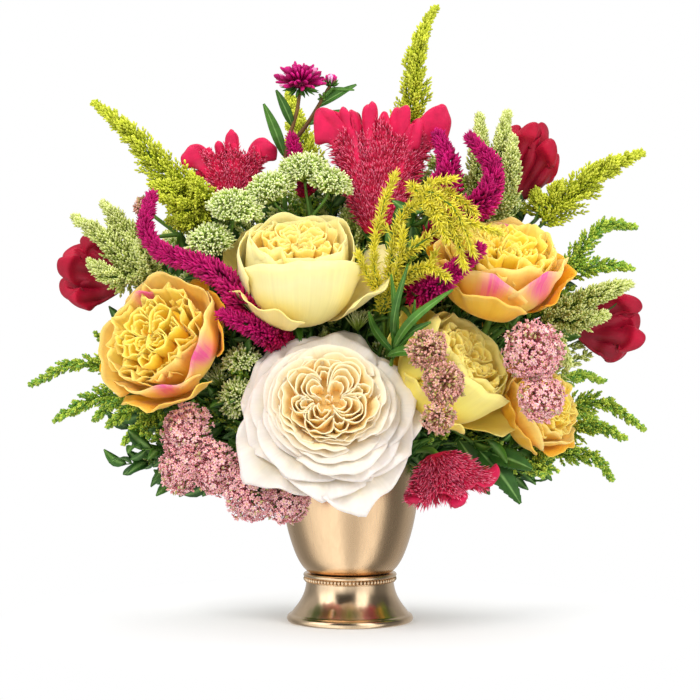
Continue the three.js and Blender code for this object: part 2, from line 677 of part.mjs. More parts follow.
// A thick fan that widens from its neck to a waved and lobed crest. `relief` raises every other
// point of its faces.
function cockscomb(name, finish, foot, up, across, form) {
  const { height, width, neck = 0.24, thick = 5, waves = 2.5, swell = 3, relief = 0 } = form;
  const { lobes = 2.5, columns = 8, rows = 5 } = form;
  const rise = up.clone().normalize();
  const sideways = across.clone().addScaledVector(rise, -across.dot(rise)).normalize();
  const face = sideways.clone().cross(rise);
  const surface = (u, v) => {
    const crest = 1 - 0.18 * u * u + 0.07 * Math.cos(u * Math.PI * lobes);
    const spread = (width / 2) * (neck + (1 - neck) * Math.sin((v * Math.PI) / 2));
    return foot
      .clone()
      .addScaledVector(rise, height * v * crest)
      .addScaledVector(sideways, u * spread)
      .addScaledVector(face, swell * v * v * Math.sin(u * Math.PI * waves));
  };
  const thickness = (row, column) => {
    const onEdge = row === 0 || row === rows || column === 0 || column === columns;
    return (row + column) % 2 === 1 || onEdge ? thick : thick + 2 * relief;
  };
  const fan = () => sheet(columns, rows, surface, thickness);
  const start = foot.clone().addScaledVector(rise, 1);
  plant(name, finish, start, rise, [fan], 2);
}

const side = at(1, 0, 0);
const VELVET = { height: 42, width: 50, thick: 4, waves: 3, swell: 5, columns: 8, rows: 3 };
cockscomb("crimson_cockscomb_top", "crimson", at(17, -6, 240), at(0.03, 0, 1), side, {
  height: 80, width: 78, thick: 7, relief: 3.5, columns: 10, rows: 8, waves: 1.5, neck: 0.3,
});
cockscomb("crimson_cockscomb_left", "crimson", at(-72, 10, 256), at(-0.06, 0, 1), side, {
  height: 46, width: 52, relief: 1.6, swell: 4,
});
cockscomb("crimson_cockscomb_low", "crimson", at(52, -42, 106), at(0.3, -0.55, -0.75), side, {
  height: 36, width: 56, relief: 2.6, columns: 10,
});
cockscomb("crimson_cockscomb_back", "crimson", at(12, 42, 240), at(0, 0.35, 0.94), side, {
  height: 52, width: 56, relief: 2.6, waves: 1.5,
});
cockscomb("velvet_cockscomb_left", "velvet", at(-142, 13, 212), at(-1, 0, 0.2), UP, VELVET);
cockscomb("velvet_cockscomb_top", "velvet", at(100, 18, 262), at(0.36, 0, 0.93), side, {
  ...VELVET, height: 52, width: 42,
});
cockscomb("velvet_cockscomb_right", "velvet", at(142, 10, 182), at(1, 0, 0.1), UP, VELVET);

// ---- Aster ---------------------------------------------------------------------------------

const ASTER_HEAD = at(-31, 12, 334);
const ASTER_BUD = at(-12, 12, 335);

// Rays are drawn out from every other point of two rings, the inner ones shorter and steeper.
function daisy(name, centre, axis, disc, reach, lift, sides) {
  const place = placer(centre, axis, 1);
  const profile = [flat(0, 0), flat(disc * 0.6, 0.4), flat(disc, disc), flat(disc * 0.7, disc * 1.5)];
  const head = new THREE.LatheGeometry([...profile, flat(0, disc * 1.6)], sides);
  const core = shaped(head, (x, y, z) => {
    const radius = Math.hypot(x, z);
    const side = Math.round((Math.atan2(z, x) / TURN + 1) * sides) % sides;
    const outer = Math.abs(radius - disc) < 0.01 && side % 2 === 0;
    const upper = y > disc * 1.2 && radius > 0.01 && side % 2 === 1;
    if (outer) return place(at((x * reach) / disc, (-z * reach) / disc, y + lift * 0.4));
    const steep = (reach * 0.7) / disc;
    return upper ? place(at(x * steep, -z * steep, y + lift)) : place(at(x, -z, y));
  });
  nodes.push({ name, finish: "aster", parts: [() => core] });
}

daisy("aster_head", ASTER_HEAD, at(0, -0.45, 0.9), 5, 16, 6, 18);
daisy("aster_bud", ASTER_BUD, at(0.1, -0.2, 1), 2.6, 3.8, 5, 6);

const asterFoot = at(-41, 12, 284);
const under = (centre) => centre.clone().add(at(0, 0.6, -1));
const asterStalk = new THREE.CatmullRomCurve3([
  asterFoot, at(-38, 12, 300), at(-33, 12, 318), under(ASTER_HEAD),
]);
const budStalk = new THREE.CatmullRomCurve3([
  asterStalk.getPointAt(0.2), at(-29, 12, 306), at(-20, 12, 320), under(ASTER_BUD),
]);
const stalk = (route) => () => tube(route, (share) => 1.6 - 0.4 * share, 3, evenly(3));
plant("aster_stem", "stem", asterFoot, at(0.1, 0, 1), [
  stalk(asterStalk),
  stalk(budStalk),
  leaf(at(-41, 12.5, 289), at(-54, 14, 322), 3, at(0, -1, 0.2), 1, 1),
  leaf(at(-36, 12, 308), at(-46, 8, 330), 2.6, at(0, -1, 0.2), 1, 1),
  leaf(at(-27, 12, 309), at(-4, 14, 318), 2.6, at(0, -1, 0.6), 1, 1),
  leaf(at(-20, 12, 320), at(4, 14, 334), 2.6, at(0, -1, 0.6), 1, 1),
]);

// ---- Standing the stems in the foam --------------------------------------------------------

// Turns directions apart, a pair at a time, until no two are closer than `apart`.
function spreadApart(directions, apart) {
  const moved = directions.map((direction) => direction.clone());
  for (let round = 0; round < 400; round += 1) {
    let close = 0;
    moved.forEach((a, i) => {
      moved.slice(i + 1).forEach((b) => {
        const angle = a.angleTo(b);
        if (angle >= apart) return;
        close += 1;
        const axis = a.clone().cross(b).normalize();
        a.applyAxisAngle(axis, (angle - apart) / 2 - 1e-3);
        b.applyAxisAngle(axis, (apart - angle) / 2 + 1e-3);
      });
      if (a.z < Math.sin(STEM_LOWEST)) a.setZ(Math.sin(STEM_LOWEST)).normalize();
    });
    if (close === 0) break;
  }
  return moved;
}

// A stem stands straight in the foam and bends once outside it.
function stem({ aim, foot, arrive, radius }) {
  const start = HEART.clone().addScaledVector(aim, STEM_START);
  const out = HEART.clone().addScaledVector(aim, STEM_OUT);
  const reach = Math.min(out.distanceTo(foot) * 0.35, 40);
  const onward = out.clone().addScaledVector(aim, reach);
  const before = foot.clone().addScaledVector(arrive, -reach);
  const route = new THREE.CurvePath();
  route.add(new THREE.LineCurve3(start, out));
  route.add(new THREE.CubicBezierCurve3(out, onward, before, foot));
  const straight = (STEM_OUT - STEM_START) / route.getLength();
  const shares = [0, ...evenly(2).map((share) => straight + (1 - straight) * share)];
  return tube(route, () => radius, STEM_SIDES, shares);
}

// The hole that a stem stands in, a little wider and deeper than the stem.
function hole({ aim, radius }) {
  const line = new THREE.LineCurve3(
    HEART.clone().addScaledVector(aim, STEM_START),
    HEART.clone().addScaledVector(aim, STEM_OUT),
  );
  return tube(line, () => radius + HOLE_MARGIN, STEM_SIDES, evenly(1), GAP);
}

const aims = spreadApart(
  plants.map(({ foot }) => foot.clone().sub(HEART).normalize()),
  STEM_APART,
);
plants.forEach((grown, i) => {
  grown.aim = aims[i];
  nodes.push({
    name: grown.name,
    finish: grown.finish,
    parts: [() => stem(grown), ...grown.parts],
  });
});

const foam = oneBody(foamPlug().subtract(joined(plants.map(hole))));
nodes.unshift(
  { name: "vase_foot", finish: "brassFoot", parts: [vaseFoot] },
  { name: "vase_collar", finish: "brassFoot", parts: [vaseCollar] },
  { name: "vase_bowl", finish: "brassBowl", parts: [vaseBowl] },
  { name: "foam", finish: "foam", parts: [() => foam] },
);

// ---- Growing the florets where there is room -----------------------------------------------

function boxesMeet(a, b) {
  return [0, 1, 2].every((i) => a.min[i] <= b.max[i] && b.min[i] <= a.max[i]);
}

function grow(node, room) {
  node.solid = oneBody(joined(node.parts.map((part) => part(room)))).simplify(SLIVER);
  node.box = node.solid.boundingBox();
}

nodes.forEach((node) => grow(node, () => false));
nodes.forEach((node) => {
  grow(node, (root, tip, width) => {
    const beyond = tip.clone().sub(root).setLength(2 * GAP).add(tip);
    const reach = cone(root, beyond, width);
    const box = reach.boundingBox();
    return nodes.every(
      (other) =>
        other === node || !boxesMeet(box, other.box) || reach.intersect(other.solid).isEmpty(),
    );
  });
});

// ---- The scene -----------------------------------------------------------------------------

function meshOf({ name, finish, solid }) {
  const { vertProperties, triVerts } = solid.getMesh();
  const geometry = new THREE.BufferGeometry();
  geometry.setAttribute("position", new THREE.BufferAttribute(vertProperties, 3));
  geometry.setIndex(new THREE.BufferAttribute(triVerts, 1));
  const mesh = new THREE.Mesh(geometry, new THREE.MeshStandardMaterial(FINISHES[finish]));
  mesh.name = name;
  return mesh;
}

const centerpiece = new THREE.Group();
centerpiece.add(...nodes.map(meshOf));

export default centerpiece;
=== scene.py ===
"""Looks of the floral table centerpiece: roses, cockscombs, plumes and stonecrop in a footed
brass vase. Lengths are in millimetres here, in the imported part's frame, and become metres
where a mesh is made. The front faces -Y."""

import math
import zlib

import bpy
import numpy as np
from mathutils import Euler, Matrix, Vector


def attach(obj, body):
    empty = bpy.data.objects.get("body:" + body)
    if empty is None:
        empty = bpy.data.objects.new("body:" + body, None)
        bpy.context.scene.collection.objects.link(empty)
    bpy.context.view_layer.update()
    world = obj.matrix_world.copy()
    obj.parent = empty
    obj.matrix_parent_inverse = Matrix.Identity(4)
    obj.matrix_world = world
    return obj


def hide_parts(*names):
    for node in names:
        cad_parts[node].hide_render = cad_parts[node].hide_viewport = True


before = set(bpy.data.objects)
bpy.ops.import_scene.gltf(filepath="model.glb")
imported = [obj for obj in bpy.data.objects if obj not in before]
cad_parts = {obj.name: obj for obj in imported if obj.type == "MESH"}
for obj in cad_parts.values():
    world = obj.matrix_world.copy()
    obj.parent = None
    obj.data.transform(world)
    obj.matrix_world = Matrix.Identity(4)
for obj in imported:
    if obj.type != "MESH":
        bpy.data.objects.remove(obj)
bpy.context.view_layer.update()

MM = 0.001
TURN = 2 * math.pi
GOLDEN = math.pi * (3 - math.sqrt(5))


def at(x, y, z):
    return np.array([x, y, z], float)


UP = at(0, 0, 1)
SIDE = at(1, 0, 0)


def unit(v):
    return v / np.maximum(np.linalg.norm(v, axis=-1, keepdims=True), 1e-9)


def ease(x, low, high):
    """A smooth step from 0 at `low` to 1 at `high`."""
    share = np.clip((x - low) / (high - low), 0, 1)
    return share * share * (3 - 2 * share)


def draws(name):
    """The seeded random draws of one piece."""
    return np.random.default_rng(zlib.crc32(name.encode()))


def even_turns(count):
    return np.arange(count) * TURN / count


def compass(angles):
    """Level directions, by their angles from +X."""
    return np.stack([np.cos(angles), np.sin(angles), 0 * angles], -1)


def turn_to(axis):
    """The matrix that turns +Z to an axis."""
    return np.array(Vector(UP).rotation_difference(Vector(axis)).to_matrix())


def spans(rows, columns):
    """The shares of a sheet: u from -1 to 1 across it and v from 0 to 1 along it."""
    return np.linspace(-1, 1, columns)[None], np.linspace(0, 1, rows)[:, None]


def grid_of(x, y, z):
    return np.stack(np.broadcast_arrays(x, y, z), -1)


def laid_out(origin, directions, x, y, z):
    """Points that lie x, y and z along three directions from an origin."""
    return origin + grid_of(x, y, z) @ np.array(directions)


def rounded(x, power, least):
    """1 in the middle, falling in a round to `least` where x is 1 or -1."""
    return np.sqrt(np.clip(1 - np.abs(x) ** power, least, 1))


# ---- Gathering small shapes into one mesh ----------------------------------------------------


class Pile:
    """Closed shapes for one piece. Each point carries a mark, which its material reads: how far
    along its floret or petal it is, its tone, and its patch. A grain runs along petals. `skin` is
    the place in the list of materials of what is added, and `spare` tells which tips to leave out."""

    def __init__(self):
        self.points, self.marks, self.grains = [], [], []
        self.faces, self.skins = {3: [], 4: []}, {3: [], 4: []}
        self.count = 0
        self.skin = 0
        self.spare = None

    def add(self, points, faces, along=0.0, tone=0.5, patch=0.0, grain=(0.0, 0.0, 0.0)):
        size = len(points)
        mark = np.empty((size, 3))
        mark[:, 0], mark[:, 1], mark[:, 2] = along, tone, patch
        self.points.append(points)
        self.marks.append(mark)
        self.grains.append(np.broadcast_to(grain, (size, 3)))
        for corners in faces:
            if len(corners):
                self.faces[corners.shape[1]].append(corners + self.count)
                self.skins[corners.shape[1]].append(np.full(len(corners), self.skin))
        self.count += size

    def build(self, name, materials, slot, *nodes):
        mesh = bpy.data.meshes.new(name)
        points = np.concatenate(self.points) * MM
        mesh.vertices.add(len(points))
        mesh.vertices.foreach_set("co", points.ravel())
        corners = [np.concatenate(f) for f in self.faces.values() if f]
        skins = np.concatenate([np.concatenate(s) for s in self.skins.values() if s])
        sizes = np.concatenate([np.full(len(c), c.shape[1]) for c in corners])
        loops = np.concatenate([c.ravel() for c in corners])
        mesh.loops.add(len(loops))
        mesh.loops.foreach_set("vertex_index", loops.astype(np.int32))
        mesh.polygons.add(len(sizes))
        starts = np.concatenate([[0], np.cumsum(sizes)[:-1]])
        mesh.polygons.foreach_set("loop_start", starts.astype(np.int32))
        mesh.polygons.foreach_set("material_index", skins.astype(np.int32))
        mesh.update(calc_edges=True)
        for label, rows in (("mark", self.marks), ("grain", self.grains)):
            values = np.concatenate(rows).astype(np.float32).ravel()
            mesh.attributes.new(label, "FLOAT_VECTOR", "POINT").data.foreach_set("vector", values)
        mesh.shade_smooth()
        for material in materials:
            mesh.materials.append(material)
        piece = bpy.data.objects.new(name, mesh)
        bpy.context.scene.collection.objects.link(piece)
        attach(piece, "root")
        if nodes:
            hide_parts(*nodes)
        return piece


class Shape:
    """A small closed shape along +Z, from height 0 to about 1, that is scattered many times."""

    def __init__(self, points, faces, along=None, patch=None):
        self.points = points
        self.faces = faces
        self.along = points[:, 2] if along is None else along
        self.patch = patch


def round_faces(rings, sides):
    """Faces over a stack of rings of points. The points that close its two ends come last."""
    spot = np.arange(rings * sides).reshape(rings, sides)
    turned = np.roll(spot, -1, axis=1)
    quads = np.stack([spot[:-1], turned[:-1], turned[1:], spot[1:]], -1).reshape(-1, 4)
    low = np.full(sides, rings * sides)
    first = np.stack([low, turned[0], spot[0]], 1)
    final = np.stack([low + 1, spot[-1], turned[-1]], 1)
    return [quads, np.concatenate([first, final])]


def copied(faces, count, size):
    """The faces of many copies of a shape that has `size` points."""
    shift = (np.arange(count) * size)[:, None, None]
    return [(f[None] + shift).reshape(-1, f.shape[1]) for f in faces]


def pod(rings, sides, flat=1.0, top=1.0, bottom=0.0):
    """A spindle through rings of (height, radius), closed by a point at each end."""
    heights, radii = np.array(rings).T[..., None, None]
    points = compass(even_turns(sides)) * (1, flat, 0) * radii + UP * heights
    ends = [(0, 0, bottom), (0, 0, top)]
    return Shape(np.concatenate([points.reshape(-1, 3), ends]), round_faces(len(rings), sides))


def together(*shapes):
    faces, count = [], 0
    for shape in shapes:
        faces += [f + count for f in shape.faces]
        count += len(shape.points)
    return Shape(np.concatenate([s.points for s in shapes]), faces,
                 np.concatenate([s.along for s in shapes]))


def tilted(shape, polar, around):
    """A shape leaned `polar` away from +Z towards the direction `around`."""
    turn = np.array(Euler((0, polar, around)).to_matrix())
    return Shape(shape.points @ turn.T, shape.faces, shape.along)


def bases(axes, spins):
    """Two directions square to each axis, turned about it by its spin, and the axis."""
    axes = unit(axes)
    helper = np.where(np.abs(axes[..., 2:3]) < 0.9, UP, SIDE)
    side = unit(np.cross(helper, axes))
    front = np.cross(axes, side)
    c, s = np.cos(spins)[..., None], np.sin(spins)[..., None]
    return side * c + front * s, front * c - side * s, axes


def scatter(pile, shape, origins, axes, lengths, widths, tones=0.5, patches=0.0, spins=None):
    """Copies of a shape, each from an origin along an axis."""
    many, size = len(origins), len(shape.points)
    spins = np.arange(many) * GOLDEN if spins is None else spins
    each = [np.broadcast_to(value, many) for value in (lengths, widths, tones, patches, spins)]
    if pile.spare:
        keep = ~pile.spare(origins + axes * each[0][:, None])
        origins, axes = origins[keep], axes[keep]
        each = [value[keep] for value in each]
        many = len(origins)
    if many == 0:
        return
    lengths, widths, tones, patches, spins = each
    side, front, up = bases(axes, spins)
    turns = np.stack([side * widths[:, None], front * widths[:, None], up * lengths[:, None]], 1)
    points = origins[:, None] + shape.points @ turns
    patches = np.repeat(patches, size)
    if shape.patch is not None:
        patches = patches + np.tile(shape.patch, many)
    along, tones = np.tile(shape.along, many), np.repeat(tones, size)
    pile.add(points.reshape(-1, 3), copied(shape.faces, many, size), along, tones, patches)


def sheet(pile, grid, thickness, along, tone=0.5, patch=0.0, grain=None):
    """A closed shell about a grid of points, `thickness` thick."""
    rows, columns = grid.shape[:2]
    normal = unit(np.cross(np.gradient(grid, axis=1), np.gradient(grid, axis=0)))
    offset = normal * (np.broadcast_to(thickness, (rows, columns)) / 2)[..., None]
    count = rows * columns
    points = np.concatenate([(grid + offset).reshape(-1, 3), (grid - offset).reshape(-1, 3)])
    spot = np.arange(count).reshape(rows, columns)
    a, b = spot[:-1, :-1].ravel(), spot[:-1, 1:].ravel()
    c, d = spot[1:, :-1].ravel(), spot[1:, 1:].ravel()
    over = np.stack([a, b, d, c], 1)
    under = np.stack([a, c, d, b], 1) + count
    loop = np.concatenate([spot[0, :-1], spot[:-1, -1], spot[-1, :0:-1], spot[:0:-1, 0]])
    onward = np.roll(loop, -1)
    rim = np.stack([loop + count, onward + count, onward, loop], 1)

    def twice(value):
        return np.tile(np.broadcast_to(value, (rows, columns)).ravel(), 2)

    grown = (0.0, 0.0, 0.0) if grain is None else np.tile(grain.reshape(-1, 3), (2, 1))
    faces = [np.concatenate([over, under, rim])]
    pile.add(points, faces, twice(along), twice(tone), twice(patch), grown)


# ---- Routes ----------------------------------------------------------------------------------


def catmull(points, steps=12):
    """Points along the centripetal Catmull-Rom curve, the same curve that the part follows."""
    p = np.array(points, float)
    p = np.concatenate([[2 * p[0] - p[1]], p, [2 * p[-1] - p[-2]]])
    t = np.linspace(0, 1, steps, endpoint=False)[:, None]
    dense = []
    for i in range(1, len(p) - 2):
        a, b, c, d = p[i - 1 : i + 3]
        before, within, after = (max(np.linalg.norm(step), 1e-4) ** 0.5 for step in (b - a, c - b, d - c))
        leave = (b - a) / before - (c - a) / (before + within) + (c - b) / within
        come = (c - b) / within - (d - b) / (within + after) + (d - c) / after
        leave, come = leave * within, come * within
        square, cube = -3 * b + 3 * c - 2 * leave - come, 2 * b - 2 * c + leave + come
        dense.append(b + leave * t + square * t**2 + cube * t**3)
    dense.append(p[-2][None])
    return np.concatenate(dense)


def bezier(a, b, c, d, t):
    t = t[..., None]
    s = 1 - t
    return a * s**3 + 3 * b * s**2 * t + 3 * c * s * t**2 + d * t**3


class Route:
    """A curve read by the share of its length."""

    def __init__(self, dense):
        self.dense = dense
        steps = np.linalg.norm(np.diff(dense, axis=0), axis=1)
        self.sums = np.concatenate([[0], np.cumsum(steps)])
        self.length = self.sums[-1]

    def spot(self, shares):
        wanted = np.clip(shares, 0, 1) * self.length
        return np.stack([np.interp(wanted, self.sums, self.dense[:, k]) for k in range(3)], -1)

    def frames(self, shares):
        """Spots, tangents and two directions square to them, carried along without twisting."""
        tangents = unit(self.spot(shares + 0.01) - self.spot(shares - 0.01))
        helper = UP if abs(tangents[0][2]) < 0.9 else SIDE
        normal = np.cross(helper, tangents[0])
        normals = []
        for tangent in tangents:
            normal = unit(normal - tangent * normal.dot(tangent))
            normals.append(normal)
        normals = np.array(normals)
        return self.spot(shares), tangents, normals, np.cross(tangents, normals)


def spline(*points):
    return Route(catmull(points))


def tube(pile, route, radius, sides=8, rings=16, tone=0.5, patch=0.0, end=1.0):
    """A round stalk, closed by a point at each end. Its radius is a number, or goes by the share of
    its length."""
    shares = np.linspace(0, end, rings)
    spots, tangents, normals, others = route.frames(shares)
    radii = radius(shares) if callable(radius) else np.full(rings, radius)
    angles = even_turns(sides)[:, None]
    ring = np.cos(angles) * normals[:, None] + np.sin(angles) * others[:, None]
    skin = (spots[:, None] + ring * radii[:, None, None]).reshape(-1, 3)
    ends = [spots[0] - tangents[0] * radii[0] * 0.4, spots[-1] + tangents[-1] * radii[-1]]
    along = np.append(np.repeat(shares, sides), [0, end])
    pile.add(np.concatenate([skin, ends]), round_faces(rings, sides), along, tone, patch)


# ---- Materials -------------------------------------------------------------------------------


def linear(colour):
    return tuple(c / 12.92 if c <= 0.04045 else ((c + 0.055) / 1.055) ** 2.4 for c in colour) + (1.0,)


class Nodes:
    """The node tree of a material or a world, with short calls for what is used often."""

    def __init__(self, holder):
        self.holder = holder
        holder.use_nodes = True
        self.tree = holder.node_tree
        self.shader = self.tree.nodes.get("Principled BSDF")

    def new(self, kind, **settings):
        node = self.tree.nodes.new(kind)
        for key, value in settings.items():
            setattr(node, key, value)
        return node

    def join(self, output, socket):
        self.tree.links.new(output, socket)

    def put(self, socket, value):
        if isinstance(value, bpy.types.NodeSocket):
            self.join(value, socket)
        else:
            socket.default_value = value

    def ramp(self, factor, stops):
        """A ramp through stops of (place, colour)."""
        node = self.new("ShaderNodeValToRGB")
        elements = node.color_ramp.elements
        while len(elements) < len(stops):
            elements.new(0.5)
        for element, (place, colour) in zip(elements, stops):
            element.position = place
            element.color = colour if len(colour) == 4 else linear(colour)
        self.join(factor, node.inputs[0])
        return node.outputs[0]

    def mix(self, factor, a, b):
        node = self.new("ShaderNodeMix", data_type="RGBA")
        self.put(node.inputs[0], factor)
        self.put(node.inputs[6], a)
        self.put(node.inputs[7], b)
        return node.outputs[2]

    def math(self, operation, a, b=0.0, clamp=False):
        node = self.new("ShaderNodeMath", operation=operation, use_clamp=clamp)
        self.put(node.inputs[0], a)
        self.put(node.inputs[1], b)
        return node.outputs[0]

    def span(self, value, low, high, to_low=0.0, to_high=1.0):
        """A value from one range laid over another."""
        node = self.new("ShaderNodeMapRange")
        for socket, number in zip(node.inputs[1:5], (low, high, to_low, to_high)):
            socket.default_value = number
        self.join(value, node.inputs[0])
        return node.outputs[0]

    def noise(self, vector, scale, detail=3.0, rough=0.55):
        node = self.new("ShaderNodeTexNoise")
        node.inputs["Scale"].default_value = scale
        node.inputs["Detail"].default_value = detail
        node.inputs["Roughness"].default_value = rough
        self.join(vector, node.inputs["Vector"])
        return node.outputs["Fac"]

    def spread(self, noise, low, high):
        """The middle of a noise laid over a range."""
        return self.span(noise, 0.3, 0.7, low, high)

    def place(self, scale=(1, 1, 1)):
        return self.scaled(self.new("ShaderNodeTexCoord").outputs["Object"], scale)

    def scaled(self, vector, scale):
        node = self.new("ShaderNodeMapping")
        node.inputs["Scale"].default_value = scale
        self.join(vector, node.inputs["Vector"])
        return node.outputs[0]

    def attribute(self, name):
        return self.new("ShaderNodeAttribute", attribute_name=name).outputs["Vector"]

    def split(self, vector):
        node = self.new("ShaderNodeSeparateXYZ")
        self.join(vector, node.inputs[0])
        return node.outputs[0], node.outputs[1], node.outputs[2]

    def shaded(self, colour, value):
        """A colour made lighter and darker."""
        node = self.new("ShaderNodeHueSaturation")
        self.join(colour, node.inputs["Color"])
        self.join(value, node.inputs["Value"])
        return node.outputs[0]

    def bump(self, height, strength, distance):
        node = self.new("ShaderNodeBump")
        node.inputs["Strength"].default_value = strength
        node.inputs["Distance"].default_value = distance
        self.join(height, node.inputs["Height"])
        self.join(node.outputs[0], self.shader.inputs["Normal"])

    def set(self, **values):
        for key, value in values.items():
            self.put(self.shader.inputs[key.replace("_", " ")], value)


MOTTLE, CLOUD, FINE = 160.0, 45.0, 1400.0
VEINS = (26.0, 1.6, 7.0)


def plant_material(name, dark, light, spread=0.25, rough=0.55, soft=0.0, sheen=0.0, patch=None):
    """What florets, leaves and stalks wear: `dark` and `light` are ramps along a floret, mixed
    by its tone, with a mottle over them."""
    nodes = Nodes(bpy.data.materials.new(name))
    along, tone, spot = nodes.split(nodes.attribute("mark"))
    colour = nodes.mix(tone, nodes.ramp(along, dark), nodes.ramp(along, light))
    if patch:
        colour = nodes.mix(nodes.span(spot, 0, 1), colour, linear(patch))
    mottle = nodes.spread(nodes.noise(nodes.place(), MOTTLE), 1 - spread, 1 + spread)
    fine = nodes.noise(nodes.place(), 900.0)
    nodes.set(Base_Color=nodes.shaded(colour, mottle),
              Roughness=nodes.spread(fine, rough - 0.1, rough + 0.1))
    nodes.set(Subsurface_Weight=soft, Subsurface_Scale=0.002, Sheen_Weight=sheen, Specular_IOR_Level=0.35)
    nodes.bump(fine, 0.35, 0.0004)
    return nodes.holder


def petal_material(name, outer, heart, flush=None, guard=None):
    """Petals: ramps from base to lip for outer and inner petals, deeper at the base, which is partly
    the petals' own colour and partly painted shade down in the bloom, fine veins along them, and
    where asked a flush at the lip and a stronger colour on the guard petals."""
    nodes = Nodes(bpy.data.materials.new(name))
    along, tone, spot = nodes.split(nodes.attribute("mark"))
    cloud = nodes.spread(nodes.noise(nodes.place(), CLOUD), -0.07, 0.07)
    shifted = nodes.math("ADD", along, cloud, clamp=True)
    # The ramps darken towards each petal's base: partly its own colour, partly painted shade in the hollows
    # of the bloom.
    colour = nodes.mix(tone, nodes.ramp(shifted, outer), nodes.ramp(shifted, heart))
    veins = nodes.noise(nodes.scaled(nodes.attribute("grain"), VEINS), 1.0, 4.0, 0.6)
    if flush:
        broken = nodes.math("MULTIPLY", spot, nodes.spread(veins, 0.75, 1.25))
        colour = nodes.mix(nodes.span(broken, 0.12, 1.0), colour, linear(flush))
    if guard:
        colour = nodes.mix(nodes.span(spot, 0.0, -1.0), colour, linear(guard))
    fine = nodes.noise(nodes.place(), FINE, 2.0)
    nodes.set(
        Base_Color=nodes.shaded(colour, nodes.spread(veins, 0.955, 1.03)),
        Roughness=nodes.spread(fine, 0.42, 0.6),
        Subsurface_Weight=0.3,
        Subsurface_Radius=(1.0, 0.7, 0.45),
        Subsurface_Scale=0.004,
        Specular_IOR_Level=0.3,
        Sheen_Weight=0.15,
        Sheen_Roughness=0.4,
    )
    nodes.bump(nodes.math("ADD", veins, nodes.math("MULTIPLY", fine, 0.25)), 0.2, 0.0003)
    return nodes.holder


def brass_material(name, colour, deep, rough, streaks, depth):
    """Brass with fine vertical brushing, a slightly uneven gloss and a little tarnish."""
    nodes = Nodes(bpy.data.materials.new(name))
    brushed = nodes.noise(nodes.place((1, 1, 0.02)), streaks, 4.0, 0.7)
    cloud = nodes.noise(nodes.place((1, 1, 0.5)), 28.0, 4.0)
    tarnish = nodes.span(cloud, 0.45, 0.8, 0.0, 0.35)
    shade = nodes.mix(tarnish, linear(colour), linear(deep))
    shade = nodes.mix(nodes.span(brushed, 0.35, 0.65, 0.0, 0.12), shade, linear(deep))
    gloss = nodes.math("ADD", nodes.spread(cloud, -0.03, 0.05), rough)
    gloss = nodes.math("ADD", gloss, nodes.spread(brushed, -0.02, 0.03))
    nodes.set(Base_Color=shade, Metallic=1.0, Roughness=gloss)
    nodes.bump(brushed, depth, 0.0002)
    return nodes.holder


STEM_GREEN = plant_material(
    "stem_green",
    [(0, (0.2, 0.3, 0.1)), (1, (0.27, 0.42, 0.15))],
    [(0, (0.36, 0.5, 0.2)), (1, (0.45, 0.62, 0.24))],
    rough=0.45,
    patch=(0.45, 0.2, 0.16),
)
LEAF_GREEN = plant_material(
    "leaf_green",
    [(0, (0.07, 0.2, 0.06)), (1, (0.12, 0.29, 0.1))],
    [(0, (0.2, 0.4, 0.12)), (1, (0.33, 0.52, 0.17))],
    rough=0.42,
    patch=(0.5, 0.66, 0.36),
)
BRASS_FOOT = brass_material("polished_brass", (0.96, 0.85, 0.71), (0.58, 0.44, 0.3), 0.17, 260.0, 0.12)
BRASS_BOWL = brass_material("satin_brass", (0.95, 0.82, 0.66), (0.72, 0.56, 0.41), 0.24, 420.0, 0.25)
# The first stops of each petal ramp, at the petals' base, are deeper: partly their own colour, partly
# painted shade.
IVORY = petal_material(
    "ivory_petals",
    [(0, (0.96, 0.78, 0.46)), (0.4, (0.97, 0.88, 0.7)), (0.72, (0.95, 0.9, 0.82)), (1, (0.95, 0.9, 0.86))],
    [(0, (0.98, 0.66, 0.26)), (0.4, (0.99, 0.79, 0.44)), (0.8, (0.99, 0.87, 0.6)), (1, (0.98, 0.91, 0.74))],
)
CREAM = petal_material(
    "cream_petals",
    [(0, (0.95, 0.78, 0.3)), (0.4, (0.97, 0.89, 0.52)), (0.8, (0.98, 0.93, 0.68)), (1, (0.98, 0.92, 0.62))],
    [(0, (0.96, 0.58, 0.1)), (0.5, (0.99, 0.76, 0.28)), (0.85, (1.0, 0.88, 0.48)), (1, (1.0, 0.91, 0.55))],
    guard=(1.0, 0.84, 0.36),
)
APRICOT = petal_material(
    "apricot_petals",
    [(0, (1.0, 0.72, 0.14)), (0.4, (1.0, 0.8, 0.28)), (0.8, (1.0, 0.83, 0.4)), (1, (1.0, 0.83, 0.48))],
    [(0, (1.0, 0.6, 0.04)), (0.5, (1.0, 0.76, 0.14)), (0.85, (1.0, 0.86, 0.28)), (1, (1.0, 0.9, 0.44))],
    flush=(0.92, 0.34, 0.6),
    guard=(1.0, 0.68, 0.02),
)
LEMON = petal_material(
    "lemon_petals",
    [(0, (1.0, 0.76, 0.14)), (0.35, (1.0, 0.86, 0.3)), (0.75, (1.0, 0.92, 0.46)), (1, (1.0, 0.93, 0.54))],
    [(0, (1.0, 0.64, 0.1)), (0.5, (1.0, 0.78, 0.22)), (0.85, (1.0, 0.88, 0.4)), (1, (1.0, 0.92, 0.5))],
    guard=(1.0, 0.86, 0.26),
)
LIME = plant_material(
    "lime_florets",
    [(0, (0.46, 0.55, 0.06)), (1, (0.7, 0.74, 0.14))],
    [(0, (0.7, 0.74, 0.12)), (1, (0.9, 0.91, 0.34))],
)
FROND = plant_material(
    "frond_buds",
    [(0, (0.34, 0.5, 0.1)), (1, (0.52, 0.68, 0.22))],
    [(0, (0.58, 0.7, 0.14)), (1, (0.84, 0.89, 0.36))],
    patch=(0.32, 0.58, 0.28),
)
